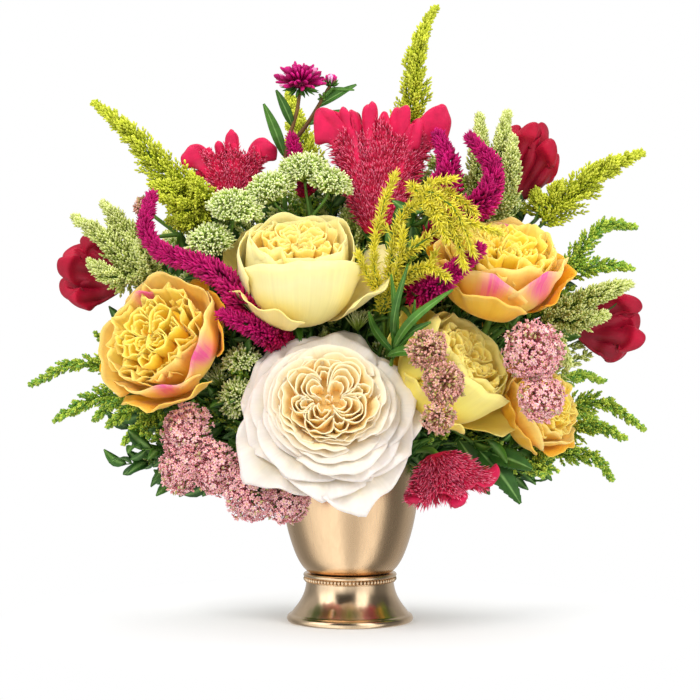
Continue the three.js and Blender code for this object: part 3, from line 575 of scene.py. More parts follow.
PANICLE = plant_material(
    "panicle_buds",
    [(0, (0.42, 0.52, 0.14)), (0.6, (0.64, 0.7, 0.3)), (1, (0.8, 0.83, 0.5))],
    [(0, (0.58, 0.66, 0.22)), (0.6, (0.83, 0.86, 0.5)), (1, (0.97, 0.97, 0.76))],
)
UMBEL = plant_material(
    "umbel_buds",
    [(0, (0.36, 0.52, 0.1)), (0.5, (0.6, 0.72, 0.26)), (1, (0.88, 0.92, 0.6))],
    [(0, (0.5, 0.64, 0.16)), (0.5, (0.78, 0.85, 0.4)), (0.8, (0.96, 0.97, 0.76)), (1, (0.99, 0.99, 0.9))],
)
STONECROP = plant_material(
    "stonecrop_stars",
    [(0, (0.72, 0.6, 0.38)), (0.4, (0.92, 0.62, 0.62)), (1, (0.95, 0.62, 0.68))],
    [(0, (0.99, 0.9, 0.7)), (0.35, (0.99, 0.83, 0.8)), (1, (0.99, 0.75, 0.8))],
    patch=(0.6, 0.66, 0.28),
    soft=0.1,
)
DUSKY = plant_material(
    "dusky_stonecrop",
    [(0, (0.5, 0.42, 0.2)), (0.5, (0.76, 0.5, 0.44)), (1, (0.85, 0.6, 0.58))],
    [(0, (0.76, 0.7, 0.4)), (0.5, (0.92, 0.72, 0.62)), (1, (0.96, 0.74, 0.72))],
    patch=(0.6, 0.62, 0.26),
    soft=0.1,
)
CRIMSON = plant_material(
    "crimson_bristles",
    [(0, (0.6, 0.0, 0.13)), (0.6, (0.8, 0.04, 0.26)), (1, (0.94, 0.24, 0.46))],
    [(0, (0.76, 0.02, 0.22)), (0.6, (0.95, 0.12, 0.38)), (1, (1.0, 0.68, 0.78))],
    patch=(0.8, 0.06, 0.29),
    rough=0.5,
    sheen=0.1,
    spread=0.15,
)
# The light ramp, which the tone brings in along the rolled rim, is a painted highlight.
VELVET = plant_material(
    "velvet_crest",
    [(0, (0.38, 0.0, 0.08)), (1, (0.54, 0.0, 0.13))],
    [(0, (0.58, 0.0, 0.13)), (1, (0.8, 0.01, 0.22))],
    rough=0.5,
    sheen=0.04,
    spread=0.1,
)
MAGENTA = plant_material(
    "magenta_florets",
    [(0, (0.42, 0.0, 0.18)), (1, (0.68, 0.02, 0.36))],
    [(0, (0.6, 0.0, 0.28)), (1, (0.88, 0.12, 0.52))],
    patch=(0.72, 0.04, 0.2),
    rough=0.5,
)
YELLOW = plant_material(
    "yellow_scales",
    [(0, (0.7, 0.68, 0.08)), (1, (0.9, 0.84, 0.16))],
    [(0, (0.92, 0.86, 0.16)), (1, (1.0, 0.97, 0.48))],
)
ASTER = plant_material(
    "aster_rays",
    [(0, (0.38, 0.0, 0.16)), (1, (0.62, 0.03, 0.34))],
    [(0, (0.56, 0.02, 0.3)), (1, (0.82, 0.08, 0.5))],
    patch=(0.95, 0.72, 0.86),
    rough=0.45,
)
FOAM = plant_material(
    "florist_foam",
    [(0, (0.06, 0.14, 0.06)), (1, (0.08, 0.18, 0.07))],
    [(0, (0.08, 0.18, 0.07)), (1, (0.1, 0.22, 0.08))],
    rough=0.9,
)


# ---- Small shapes ----------------------------------------------------------------------------

BUD = pod([(0.2, 0.8), (0.6, 1.0)], 4)
BLUNT = pod([(0.12, 0.6), (0.5, 1.0), (0.88, 0.8)], 4)
SCALE = pod([(0.2, 0.85), (0.6, 0.9)], 4, flat=0.5)
FLAME = pod([(0.15, 0.75), (0.45, 1.0), (0.8, 0.4)], 4, flat=0.7)
SPINE = pod([(0.05, 1.0), (0.55, 0.75)], 3)
SPINE.along = 0.5 + 0.5 * SPINE.along
ROD = pod([(0.02, 1.0), (0.98, 0.8)], 3)
ROD.along = 0.5 * ROD.along
RAY = pod([(0.08, 0.35), (0.4, 0.7), (0.75, 1.0), (0.93, 0.75)], 6, flat=0.5)
BEAD = pod([(0.07, 0.5), (0.25, 0.87), (0.5, 1.0), (0.75, 0.87), (0.93, 0.5)], 10)
PETALET = pod([(0.2, 0.1), (0.75, 0.14)], 4, flat=2.5)
STAR_EYE = pod([(0.05, 0.16), (0.2, 0.14)], 5, top=0.3, bottom=-0.1)
STAR = together(*[tilted(PETALET, 1.2, angle) for angle in even_turns(5)], STAR_EYE)
STAR.along[-len(STAR_EYE.points) :] = 0.0


def leaf_shape():
    """A leaf along +Z, one unit to each side, folded along its midrib and bowed."""
    slender = (1, 1, 12)
    u, v = spans(6, 5)
    width = np.sin(math.pi * (0.03 + 0.95 * v**0.85)) ** 0.8
    grid = grid_of(u * width, 0.3 * np.abs(u) * width + 0.7 * np.sin(math.pi * v), v)
    pile = Pile()
    sheet(pile, grid * slender, 0.12, v, 0.5, 0.75 * (np.abs(u) < 0.1))
    along, _, patch = pile.marks[0].T
    return Shape(pile.points[0] / slender, pile.faces[4], along, patch)


LEAF = leaf_shape()


# ---- The vase and the foam -------------------------------------------------------------------

WALL = 1.3
FOOT_RADIUS = 39.3
FOOT_HEIGHT = 25.4
NECK_RADIUS = 27.3
COLLAR_BEADS = 76
BEAD_LEVEL, BEAD_TALL, BEAD_GIRTH = 26.6, 2.5, 1.0
RING_LEVEL, RING_GIRTH = 29.0, 1.3
RIM_RADIUS = 43.2
RIM_HEIGHT = 100.0
FOAM_TOP = 139.0
BOWL_FOOT = 30.6
BOWL_FLOOR = 32.3
COLLAR_LOW, COLLAR_HIGH = 24.9, 30.25


def flat_bezier(points, steps):
    curve = bezier(*(at(r, 0, z) for r, z in points), np.linspace(0, 1, steps))
    return [(p[0], p[2]) for p in curve]


def flat_spline(points):
    curve = catmull([(r, 0, z) for r, z in points], 10)
    return [(p[0], p[2]) for p in curve]


def lathe(pile, profile, segments=160, ripple=None):
    """A closed solid of revolution: the profile starts and ends on the axis."""
    rows = np.array(profile[1:-1], float)
    angles = even_turns(segments)
    radius = rows[:, :1] + (ripple(angles, rows[:, 1:]) if ripple else 0.0)
    grid = grid_of(radius * np.cos(angles), radius * np.sin(angles), rows[:, 1:])
    ends = [(0, 0, profile[0][1]), (0, 0, profile[-1][1])]
    pile.add(np.concatenate([grid.reshape(-1, 3), ends]), round_faces(len(rows), segments))


def vase_foot():
    """A flared foot with a rolled rim, hollow above a flat plate."""
    pile = Pile()
    rolled = [(2.2, 0.0), (0.5, 0.7), (0, 2.2), (0.8, 4.0), (2.4, 5.0)]
    edge = flat_spline([(FOOT_RADIUS - r, z) for r, z in rolled])
    flare = [(FOOT_RADIUS - 2.8, 5.2), (FOOT_RADIUS - 6.6, 10.5), (NECK_RADIUS + 0.5, 15)]
    flare = flat_bezier([*flare, (NECK_RADIUS - 0.2, FOOT_HEIGHT)], 28)
    inside = [(r - WALL, z) for r, z in flare[::-1][:-4]]
    floor = [(FOOT_RADIUS - 7, 2.2), (0, 2)]
    lathe(pile, [(0, 0), (20, 0), *edge, *flare, *inside, *floor])
    pile.build("vase_foot_polished", [BRASS_FOOT], "brass_foot", "vase_foot")


def vase_collar():
    """A plain ring over a row of small beads that stand in a groove."""
    pile = Pile()
    band = NECK_RADIUS + 0.35
    groove = band - 1.2
    swing = np.linspace(-1.35, 1.35, 12)
    ring = [(band + RING_GIRTH * math.cos(t), RING_LEVEL + RING_GIRTH * math.sin(t)) for t in swing]
    edge = [(12, 0), (band + 0.4, 0), (band + 0.5, 0.25), (band + 0.2, 0.6), (groove, 0.65)]
    low = [(r, COLLAR_LOW + z) for r, z in edge]
    high = [(r, COLLAR_HIGH) for r in (band - 0.8, 12, 0)]
    lathe(pile, [(0, COLLAR_LOW), *low, (groove, BEAD_LEVEL + 1.05), *ring, *high], 200)
    spots = compass(even_turns(COLLAR_BEADS)) * (band + 0.35) + UP * (BEAD_LEVEL - BEAD_TALL / 2)
    scatter(pile, BEAD, spots, np.tile(UP, (COLLAR_BEADS, 1)), BEAD_TALL, BEAD_GIRTH)
    pile.build("vase_collar_beaded", [BRASS_FOOT], "brass_foot", "vase_collar")


def bowl_outside():
    belly = [(29.5, 34.3), (33, 40.2), (37.6, 53), (40.9, 68), (42.5, 84)]
    return flat_spline([(NECK_RADIUS - 0.6, BOWL_FOOT + 0.7), *belly, (RIM_RADIUS, RIM_HEIGHT)])


def vase_bowl():
    pile = Pile()
    outside = bowl_outside()
    lip = [(RIM_RADIUS - WALL / 2, RIM_HEIGHT + 0.5), (RIM_RADIUS - WALL, RIM_HEIGHT)]
    inside = [(r - WALL, z + 0.3) for r, z in outside[::-1][1:]]
    floor = [(NECK_RADIUS - 6, BOWL_FLOOR + 0.4), (0, BOWL_FLOOR)]
    lathe(pile, [(0, BOWL_FOOT), (NECK_RADIUS - 3, BOWL_FOOT), *outside, *lip, *inside, *floor])
    pile.build("vase_bowl_satin", [BRASS_BOWL], "brass_bowl", "vase_bowl")


def foam():
    """The plug of foam: it fills the bowl and rises in a dome above its rim."""
    pile = Pile()
    side = [(r - WALL - 0.6, z) for r, z in bowl_outside() if BOWL_FLOOR + 2 < z < RIM_HEIGHT - 1]
    dome = [(40.2, RIM_HEIGHT + 2), (38.5, RIM_HEIGHT + 20), (24, FOAM_TOP - 1.5), (4, FOAM_TOP - 0.2)]

    def crumbs(angles, heights):
        return 0.35 * np.sin(angles * 11 + heights) * np.sin(heights * 1.7 + angles * 5)

    floor = [(0, BOWL_FLOOR + 0.4), (22, BOWL_FLOOR + 0.4)]
    lathe(pile, [*floor, *side, *flat_bezier(dome, 24), (0, FOAM_TOP)], 96, crumbs)
    pile.build("foam_plug", [FOAM], "foam", "foam")


# ---- Petals and roses ------------------------------------------------------------------------


# What a petal is like where its form doesn't say: the share of its spread at the foot, how far its
# lip is rounded off, how far one edge tucks under its neighbour, its ruffle and the number of its
# waves, how far its lip rolls back, the notch in its lip, its ragged edge and its thickness.
PETAL = {"foot": 0.34, "round": 0.2, "tuck": 2.4, "ruffle": 0.7, "waves": 2.5, "roll": 2.0, "notch": 0.02,
         "ragged": 0.012, "thick": 0.75}


def placed(base, axis, scale=1.0):
    """Takes points from a bloom's own frame, in which its axis is +Z, to where it grows."""
    turn = turn_to(axis)
    return lambda points: (points * scale) @ turn.T + base


def petal(pile, form, angle, place, random, tone, patch=0.0, rows=17, columns=27):
    """One petal, from the bloom's axis outwards: `profile` holds (radius, height) of its midline
    from base to lip, and `half` the angle it spreads to each side."""
    get = {**PETAL, **form}
    u, v = spans(rows, columns)
    turn = random.uniform(0, TURN, 4)
    edge = 1 - get["round"] * np.abs(u) ** 2.2 - get["notch"] * np.exp(-((u / 0.17) ** 2))
    edge = edge + get["ragged"] * (np.sin(5.1 * u + turn[0]) + 0.7 * np.sin(9.7 * u + turn[1]))
    if "point" in get:
        edge = edge + get["point"] * np.exp(-((np.abs(u - get["corner"]) / 0.16) ** 1.2))
    lip = v * edge
    corners = [at(r, 0, z) for r, z in get["profile"]]
    curve = bezier(*corners, np.clip(lip, 0, 1.3))
    way = unit(bezier(*corners, np.clip(lip, 0, 1.3) + 0.01) - curve)
    spread = get["half"] * (get["foot"] + (1 - get["foot"]) * np.sin(np.clip(lip, 0, 1) * math.pi / 2))
    waves = get["waves"] * math.pi * u
    wave = np.sin(waves + turn[2]) + 0.5 * np.sin(1.9 * waves + turn[3])
    lift = get["tuck"] * u * lip + get["ruffle"] * ease(v, 0.3, 1.0) ** 1.5 * wave
    roll = get["roll"] * ease(v, 0.72, 1.0) ** 2
    lift = lift + roll
    radius = curve[..., 0] + way[..., 2] * lift
    height = curve[..., 2] - way[..., 0] * lift - 0.35 * roll
    turned = angle + u * spread
    grid = np.stack([radius * np.cos(turned), radius * np.sin(turned), height], -1)
    thickness = get["thick"] * (1 - 0.45 * ease(v, 0.6, 1.0))
    spot = patch(u, v) if callable(patch) else patch
    sheet(pile, place(grid), thickness, v, tone, spot, grid_of(u, v, random.uniform(0, 9)))


def ring_of_petals(pile, form, place, random, spin):
    sizes = form.get("sizes", [1])
    for i in range(form["count"]):
        angle = spin + form["start"] + i * TURN / form["count"] + random.normal(0, form.get("loose", 0.06))
        stretch = random.normal(0, form.get("vary", 0.03)) + sizes[i % len(sizes)] - 1
        grown = [1 + stretch * k / 3 for k in range(4)]
        mine = {**form, "profile": [(r * g, z * g) for (r, z), g in zip(form["profile"], grown)]}
        mine["corner"] = random.uniform(-0.4, 0.4)
        spot = form.get("patch", 0.0)
        if isinstance(spot, list):
            spot = spot[i % len(spot)]
        petal(pile, mine, angle, place, random, form["tone"], spot)


def folded_lobe(pile, place, random, lobe, spin):
    """Petals of the heart nested in each other, each folded round a line that stands away from the
    bloom's axis. Towards the axis they narrow to a wedge, so that lobes stay side by side."""
    outward = compass(np.array(spin + lobe["angle"]))
    across = np.cross(UP, outward)
    u, v = spans(11, 37)
    hub = lobe.get("hub", 2.5)
    for k in range(lobe["nested"]):
        share = 0.22 + 0.78 * (k + 1) / lobe["nested"]
        bend = lobe.get("bend", 2.7) + random.normal(0, 0.1)
        turn = random.uniform(0, TURN, 3)
        wobble = 1 + lobe["wave"] * (np.sin(3.3 * u + turn[0]) + 0.6 * np.sin(7.1 * u + turn[1])) * v
        reach = lobe["size"] * share * wobble * (1 - lobe["flare"] + lobe["flare"] * v)
        theta = u * bend + lobe.get("swirl", 0.0) * (1 - share)
        top = lobe["top"] - lobe["fall"] * (1 - share) + random.normal(0, 0.7)
        edge = 1 - 0.3 * u**4 + lobe["ragged"] * (np.sin(8.3 * u + turn[2]) + np.sin(15.0 * u + turn[0]))
        height = lobe["floor"] + (top - lobe["floor"]) * v * edge
        away = hub + (lobe["distance"] - hub) * share + reach * np.cos(theta) * 1.1
        room = np.maximum(away, 0) * 0.85 + 1.2
        aside = room * np.tanh(reach * np.sin(theta) * 0.95 / room)
        spot = laid_out(0, (outward, across, UP), away, aside, height)
        grain = grid_of(u * 2, v, random.uniform(0, 9))
        # Along runs from the lobe's floor to its lip, so the ramps paint shade deep between the nested
        # petals as well as their own colour.
        sheet(pile, place(spot), 0.9 - 0.3 * v, 0.25 + 0.75 * v, 1.0, 0.0, grain)


def heart(pile, place, random, lobes, spin, level, width):
    """The middle of a bloom: its lobes, three small petals on the axis, and the bed they rise from."""
    share = np.linspace(0.02, 1, 8)[:, None]
    angles = np.linspace(0, TURN, 49)
    bed = compass(angles) * (share * width)[..., None]
    bed[..., 2] = level + 0.8 * np.sin(angles * 3) * share
    sheet(pile, place(bed), 0.5, 0.55, 1.0)
    small = {"profile": [(0.6, level), (2.0, level + 2), (2.6, level + 5), (1.6, level + 7.5)], "half": 0.9,
             "roll": 0.3, "ruffle": 0.3, "tuck": 0.2}
    for angle in even_turns(3):
        petal(pile, small, angle + spin, place, random, 1.0, 0.0, 12, 15)
    for lobe in lobes:
        folded_lobe(pile, place, random, lobe, spin)


def cup(pile, place, profile, thickness, along, tone):
    """A round shell through a profile of (radius, height)."""
    radii, heights = np.array(profile).T[..., None, None]
    grid = compass(np.linspace(0, TURN, 25)) * radii + UP * heights
    sheet(pile, place(grid), thickness, along, tone)


FLUSHED = [
    0.0,
    0.0,
    lambda u, v: ease(v, 0.45, 0.85) * np.exp(-(((u - 0.3 - 0.5 * (v - 0.7)) / 0.24) ** 2)),
    lambda u, v: ease(v, 0.35, 0.8) * np.exp(-(((u + 0.25 + 0.6 * (v - 0.7)) / 0.3) ** 2)),
]


def ring(count, start, half, tone, *profile, **more):
    """A ring of petals: how many, the angle of the first, how far each spreads to its sides, its
    tone, (radius, height) of its midline from base to lip, and where it differs from PETAL."""
    return {"count": count, "start": start, "half": half, "tone": tone, "profile": profile, **more}


def nest(angle, distance, size, nested, **more):
    """A lobe of the heart: where it stands, how large it is and how many petals it holds."""
    return {"angle": angle, "distance": distance, "size": size, "nested": nested, **more}


def open_ring(radius, height, start, tone, rise=0.0, **more):
    """A ring of five broad petals that rise from the middle and lie back at their lips, or stand
    round the heart where `rise` says so."""
    foot = 1 + (57 - radius) * 0.12
    low = (radius * (0.52 + 0.2 * rise), height - 8 - 5 * rise)
    high = (radius * (0.8 + 0.16 * rise), height + 1.5 - 7 * rise)
    like = {"half": 0.8, "roll": 0.8, "vary": 0.05, "ruffle": 1.0, "waves": 3, "loose": 0.12, **more}
    return ring(5, start, like.pop("half"), tone, (5, foot), low, high, (radius, height), **like)


# A rose has rings of petals from the outermost inwards, lobes that fill its heart with what all of
# them share, the level and width of the bed under them, and the room that it takes: `spread` is its
# radius, and `under` how far that reaches below its base.
OPEN_ROSE = {
    "rings": [
        open_ring(58, 6, 0.15, 0.0, point=0.24, round=0.3, ruffle=2.2, ragged=0.02),
        open_ring(54, 11, 0.85, 0.0, point=0.16, round=0.26, ruffle=1.6),
        open_ring(49.5, 16.5, 0.4, 0.0, point=0.1, ruffle=1.3),
        open_ring(45, 21.5, 1.05, 0.08, point=0.05),
        open_ring(41, 26, 0.1, 0.18, rise=0.2),
        open_ring(37, 29.5, 0.75, 0.35, rise=0.4, half=0.86),
        open_ring(33.5, 32.5, 0.3, 0.55, rise=0.6, half=0.9),
        open_ring(30.5, 34.5, 1.0, 0.75, rise=0.85, half=0.9),
        open_ring(27.5, 36, 0.6, 0.9, rise=1.0, half=0.9),
    ],
    "lobes": [
        nest(0.95, 13.5, 12.5, 5, bend=2.1, swirl=0.5),
        nest(-0.5, 13.5, 12, 5, bend=2.0, swirl=-0.4),
        nest(2.65, 13, 12.5, 5, bend=1.8, swirl=0.5),
        nest(4.3, 13.5, 12, 5, bend=1.8, wave=0.17, ragged=0.07),
        nest(0.2, 18.5, 5.0, 2, hub=14, bend=2.2),
        nest(1.8, 17.5, 6.5, 3, hub=12, bend=2.0),
        nest(3.5, 17.5, 6.5, 3, hub=12, bend=2.2),
        nest(5.1, 18.5, 5.5, 2, hub=14, bend=2.0),
    ],
    "lobe": {"floor": 22, "top": 36.5, "fall": 4.0, "flare": 0.36, "wave": 0.12, "ragged": 0.04},
    "bed": (25.0, 26.0),
    "spread": 62.0,
    "under": 17.0,
}
CUP_ROSE = {
    "rings": [
        ring(3, 2.1, 0.82, 0.05, (5, 0), (32, -2), (45, 22), (52, 38), patch=[-0.5, -0.3, -0.1], ruffle=1.8,
             ragged=0.03, roll=3.0, sizes=[0.95, 0.82, 1.18], point=0.08),
        ring(3, 0.6, 1.18, 0.0, (5, 0), (31, -1), (42, 28), (30, 53), roll=4.0, round=0.15, point=0.03,
             ragged=0.008),
        ring(3, 1.6, 1.15, 0.05, (4, 1), (28, 3), (36, 28), (27, 55), tuck=1.2, roll=1.6, round=0.14,
             ragged=0.01),
        ring(4, 0.2, 0.95, 0.25, (4, 3), (24, 6), (31, 30), (24.5, 56), roll=3.0, ruffle=1.2, round=0.14),
        ring(4, 1.0, 0.95, 0.7, (4, 4), (20, 9), (26, 28), (21.5, 55), ruffle=1.8, waves=4, roll=2.6,
             ragged=0.02),
    ],
    "lobes": [
        nest(0.5, 9.5, 9, 4, swirl=0.5),
        nest(2.1, 9.5, 9, 4, swirl=-0.4),
        nest(3.6, 9.5, 9, 4, bend=2.3),
        nest(5.1, 9.5, 8.5, 4, bend=2.3),
        nest(1.3, 16, 5, 2, hub=12),
        nest(4.3, 16, 5, 2, hub=12),
        nest(2.85, 15, 5.5, 2, hub=11, bend=2.0),
        nest(5.85, 15, 5.5, 3, hub=11, bend=2.2),
    ],
    "lobe": {"floor": 36, "top": 53, "fall": 5.0, "flare": 0.42, "wave": 0.13, "ragged": 0.04},
    "bed": (41.0, 20.0),
    "spread": 50.0,
    "under": 9.0,
}
RUFFLED_ROSE = {
    "rings": [
        ring(3, 2.2, 0.88, 0.4, (5, 0), (34, -1), (41, 18), (44, 33), patch=[-1.0, -0.4, -0.8], ruffle=1.8,
             waves=3, ragged=0.03, roll=3.0),
        ring(4, 1.1, 0.98, 0.0, (5, 1), (31, 1), (40, 22), (35, 43), patch=FLUSHED, roll=5.0, ruffle=1.4,
             point=0.05),
        ring(4, 0.3, 0.96, 0.3, (4, 2), (25, 5), (33, 24), (29.5, 46), patch=[0.0, FLUSHED[3], 0.0, 0.0],
             roll=2.4, ruffle=1.0, waves=3, tuck=1.2),
        ring(4, 0.9, 0.95, 0.65, (4, 3), (20, 8), (29, 24), (28, 47), ruffle=2.6, waves=4, roll=3.4,
             ragged=0.035),
        ring(5, 0.2, 0.8, 0.85, (4, 4), (16, 8), (23, 22), (22.5, 45), ruffle=2.4, waves=4, roll=2.8,
             ragged=0.04),
    ],
    "lobes": [
        nest(0.5, 10, 10, 4, swirl=0.5),
        nest(2.1, 10, 10, 4, bend=2.2),
        nest(3.6, 10, 10, 4, bend=2.2),
        nest(5.1, 10, 9.5, 4, swirl=-0.4),
        nest(1.3, 17, 6, 2, hub=13),
        nest(2.9, 17, 6, 2, hub=13),
        nest(4.4, 17, 6, 2, hub=13),
        nest(5.9, 16, 6.5, 3, hub=11, bend=2.1),
    ],
    "lobe": {"floor": 27, "top": 46, "fall": 5.0, "flare": 0.46, "wave": 0.16, "ragged": 0.05},
    "bed": (32.0, 21.0),
    "spread": 47.0,
    "under": 9.0,
}
GOLDEN_RINGS = [{**ring, "patch": 0.0} for ring in RUFFLED_ROSE["rings"]]
GOLDEN_RINGS[0]["patch"] = -0.6
GOLDEN_ROSE = {**RUFFLED_ROSE, "rings": GOLDEN_RINGS}

RECEPTACLE = [(0.1, -1.0), (6.5, -1.0), (8.6, 4), (8.0, 9), (5, 12)]
CALYX = [(0.2, -9.5), (2.6, -8.2), (3.9, -5.5), (4.2, -2.8), (3.4, -1.2)]
SEPAL = {"half": 0.2, "foot": 1.0, "round": 0.75, "notch": -0.12, "ragged": 0.0, "ruffle": 0.3,
         "roll": -1.5, "tuck": 0.5, "thick": 0.5}


def rose_bloom(name, material, slot, base, axis, scale, form, spin):
    """All the petals of a rose, from the guard petals inwards, and the green base they spring from."""
    random = draws(name)
    place = placed(base, axis, scale)
    pile = Pile()
    for ring in form["rings"]:
        ring_of_petals(pile, ring, place, random, spin)
    heart(pile, place, random, [{**form["lobe"], **lobe} for lobe in form["lobes"]], spin, *form["bed"])
    cup(pile, place, RECEPTACLE, 0.6, 0.2, 0.4)
    pile.build(name + "_petals", [material], slot, name + "_bloom")


def calyx(pile, base, axis, random):
    """The cup under a bloom with its five pointed sepals."""
    place = placed(base, axis)
    cup(pile, place, CALYX, 0.5, 0.5, 0.6)
    for turn in even_turns(5):
        angle = turn + random.normal(0, 0.1)
        profile = [(3.2, -2.5), (9, -1.5), (16, 0.5), (21, -3 + random.normal(0, 1.5))]
        petal(pile, {**SEPAL, "profile": profile}, angle, place, random, 0.55, 0.0, 12, 9)


# ---- Leaves ----------------------------------------------------------------------------------


def blade(pile, root, tip, half, face, bow, teeth=0, fold=0.22, tone=0.5, rows=26):
    """A leaf folded a little along its pale midrib, toothed where `teeth` says."""
    along = tip - root
    across = unit(np.cross(along, face))
    lift = unit(np.cross(across, along))
    u, v = spans(rows, 11)
    width = half * np.sin(math.pi * np.clip(0.02 + 0.96 * v**0.8, 0, 1)) ** 0.85 + 0.35
    if teeth:
        saw = (v * teeth) % 1.0
        width = width * (1 + 0.2 * np.abs(u) ** 3 * (0.5 - saw))
    rise = bow * np.linalg.norm(along) * np.sin(math.pi * v) + fold * np.abs(u) * width
    grid = laid_out(root, (along, across, lift), v, u * width, rise)
    rib = 1 - ease(np.abs(u), 0.02, 0.2)
    sheet(pile, grid, 0.4, 0.3 + 0.7 * v, tone, rib * 0.8)


# ---- Plants: each has a stem in the foam and whatever grows on it ----------------------------

HEART = at(0, 0, 104)
STEM_START = 23
STEM_OUT = 44
STEM_APART = math.radians(8.2)
STEM_LOWEST = math.radians(4)

plants, small_plants = [], []


def plant(name, materials, slot, foot, arrive, grow, radius=1.6, small=False):
    """A plant whose stem comes to `foot` in the direction `arrive`, where `grow` takes over. Small
    plants are the scene's own: they stand for no node of the part."""
    kept = small_plants if small else plants
    kept.append({"name": name, "materials": materials, "slot": slot, "foot": foot, "arrive": unit(arrive),
                 "grow": grow, "radius": radius})


def spread_apart(directions, apart):
    """Turns directions apart, a pair at a time, until no two are closer than `apart`."""
    moved = [Vector(d).normalized() for d in directions]
    for _ in range(400):
        close = 0
        for i, a in enumerate(moved):
            for b in moved[i + 1 :]:
                angle = math.acos(max(-1.0, min(1.0, a.dot(b) / (a.length * b.length))))
                if angle >= apart:
                    continue
                close += 1
                axis = a.cross(b).normalized()
                for side, amount in ((a, (angle - apart) / 2 - 1e-3), (b, (apart - angle) / 2 + 1e-3)):
                    along = axis * (axis.dot(side) * (1 - math.cos(amount)))
                    side[:] = side * math.cos(amount) + axis.cross(side) * math.sin(amount) + along
            if a.z < math.sin(STEM_LOWEST):
                a.z = math.sin(STEM_LOWEST)
                a.normalize()
        if close == 0:
            break
    return [np.array(v) for v in moved]


def stem_route(aim, foot, arrive):
    """Straight out of the foam, then in one bend to the plant's foot."""
    start, out = HEART + aim * STEM_START, HEART + aim * STEM_OUT
    reach = min(np.linalg.norm(foot - out) * 0.35, 40)
    bend = bezier(out, out + aim * reach, foot - arrive * reach, foot, np.linspace(0, 1, 30))
    return Route(np.concatenate([[start], bend]))


# ---- Sprays: branches with florets all along them --------------------------------------------

LIME_SPRAY = {"shape": BLUNT, "bare": 0.04, "pitch": 0.75, "core": 0.8, "reach": 28.0, "low": 2.5,
              "lean": 1.25, "levels": 8, "whorl": 2, "floret": (2.8, 4.4), "girth": (0.6, 0.85),
              "forward": 1.3, "curve": 0.9}
FROND_SPRAY = {"shape": BLUNT, "bare": 0.06, "pitch": 1.2, "core": 0.8, "reach": 19.0, "low": 2.4,
               "lean": 1.45, "levels": 9, "whorl": 2, "floret": (2.2, 3.4), "girth": (0.55, 0.8),
               "forward": 1.3, "curve": 0.8, "tips": 0.35}
PANICLE_SPRAY = {"shape": BUD, "bare": 0.03, "pitch": 0.5, "core": 2.0, "reach": 18.0, "low": 4.0,
                 "lean": 1.1, "levels": 7, "whorl": 2, "floret": (2.8, 4.2), "girth": (0.62, 0.88),
                 "forward": 1.2, "curve": 0.8}
MAGENTA_SPRAY = {"shape": FLAME, "bare": 0.03, "pitch": 0.3, "core": 3.2, "reach": 14.0, "low": 1.2,
                 "lean": 0.95, "levels": 3, "whorl": 2, "floret": (4.6, 6.8), "girth": (1.0, 1.5),
                 "forward": 1.3, "curve": 0.75, "deep": 1.0}
YELLOW_SPRAY = {"shape": FLAME, "bare": 0.08, "pitch": 0.85, "core": 0.3, "reach": 9.5, "low": 0.6,
                "lean": 1.15, "levels": 3, "whorl": 2, "floret": (4.2, 6.6), "girth": (0.42, 0.62),
                "forward": 1.1, "curve": 0.85}


def clothe(pile, route, kind, random):
    """Twigs all round a branch, shorter towards its tip, each with whorls of florets along it."""
    count = max(int(route.length * (1 - kind["bare"]) / kind["pitch"]), 3)
    shares = kind["bare"] + (1 - kind["bare"]) * (np.arange(count) + random.random(count) * 0.8) / count
    spots, tangents, normals, others = route.frames(shares)
    turn = np.arange(count) * GOLDEN + random.normal(0, 0.35, count)
    radial = normals * np.cos(turn)[:, None] + others * np.sin(turn)[:, None]
    swell = 0.5 + 0.5 * ease(shares, kind["bare"] - 0.15, kind["bare"] + 0.2)
    left = np.clip(1 - shares, 0, 1)
    full = min(1.0, 0.45 + route.length / 110)
    length = (kind["low"] + (kind["reach"] * full - kind["low"]) * left ** kind["curve"]) * swell
    length = length * random.uniform(0.7, 1.08, count)
    core = kind["core"] * left**0.6
    lean = kind["lean"] + 0.8 * ease(shares, 0.8, 1.0)
    way = unit(radial + tangents * lean[:, None])
    levels = kind["levels"]
    for level in range(levels):
        along = (level + 0.5) / levels
        for k in range(kind["whorl"] if level < levels - 1 else 1):
            floret = random.uniform(*kind["floret"], count) * (0.75 + 0.25 * full)
            reach = np.maximum(length - floret * 0.8, 0.2) * along
            origins = spots + radial * core[:, None] + way * reach[:, None]
            angle = (level * 1.3 + k * math.pi) + random.uniform(-0.6, 0.6, count)
            side = bases(way, angle)[0]
            outward = side * (0.25 if level == levels - 1 else 0.85)
            axes = unit(way * kind["forward"] + outward + tangents * 0.15)
            # Florets nearer the twig get a darker tone: painted shade between the florets, with some random
            # spread.
            tones = np.clip(0.1 + 0.7 * along + random.normal(0, 0.18, count), 0, 1)
            is_tip = random.random(count) < kind.get("tips", 0.0) * along * (0.4 + shares)
            patches = np.where(is_tip, 0.75, 0.0)
            if "deep" in kind:
                inner = 1 - ease(shares, 0.0, 0.5)
                patches = patches + kind["deep"] * inner * random.uniform(0.4, 1, count)
            girth = random.uniform(*kind["girth"], count)
            scatter(pile, kind["shape"], origins, axes, floret, girth, tones, patches)
    tip, way, _, _ = route.frames(np.array([0.985]))
    scatter(pile, kind["shape"], tip, way, kind["floret"][1], kind["girth"][1], 0.8)


def spray(foot, leader, sides, kind, fork):
    def grow(pile, random):
        main = spline(foot, *leader)
        starts = [main.spot([fork * (i + 1)])[0] for i in range(len(sides))]
        for branch in [main, *(spline(start, *side) for start, side in zip(starts, sides))]:
            pile.skin = 1
            tube(pile, branch, lambda s: np.maximum(1.15 * (1 - 0.75 * s), 0.25), 7, 40, end=0.985)
            pile.skin = 0
            clothe(pile, branch, kind, random)

    return grow


# ---- Heads: many small flowers on stalklets --------------------------------------------------


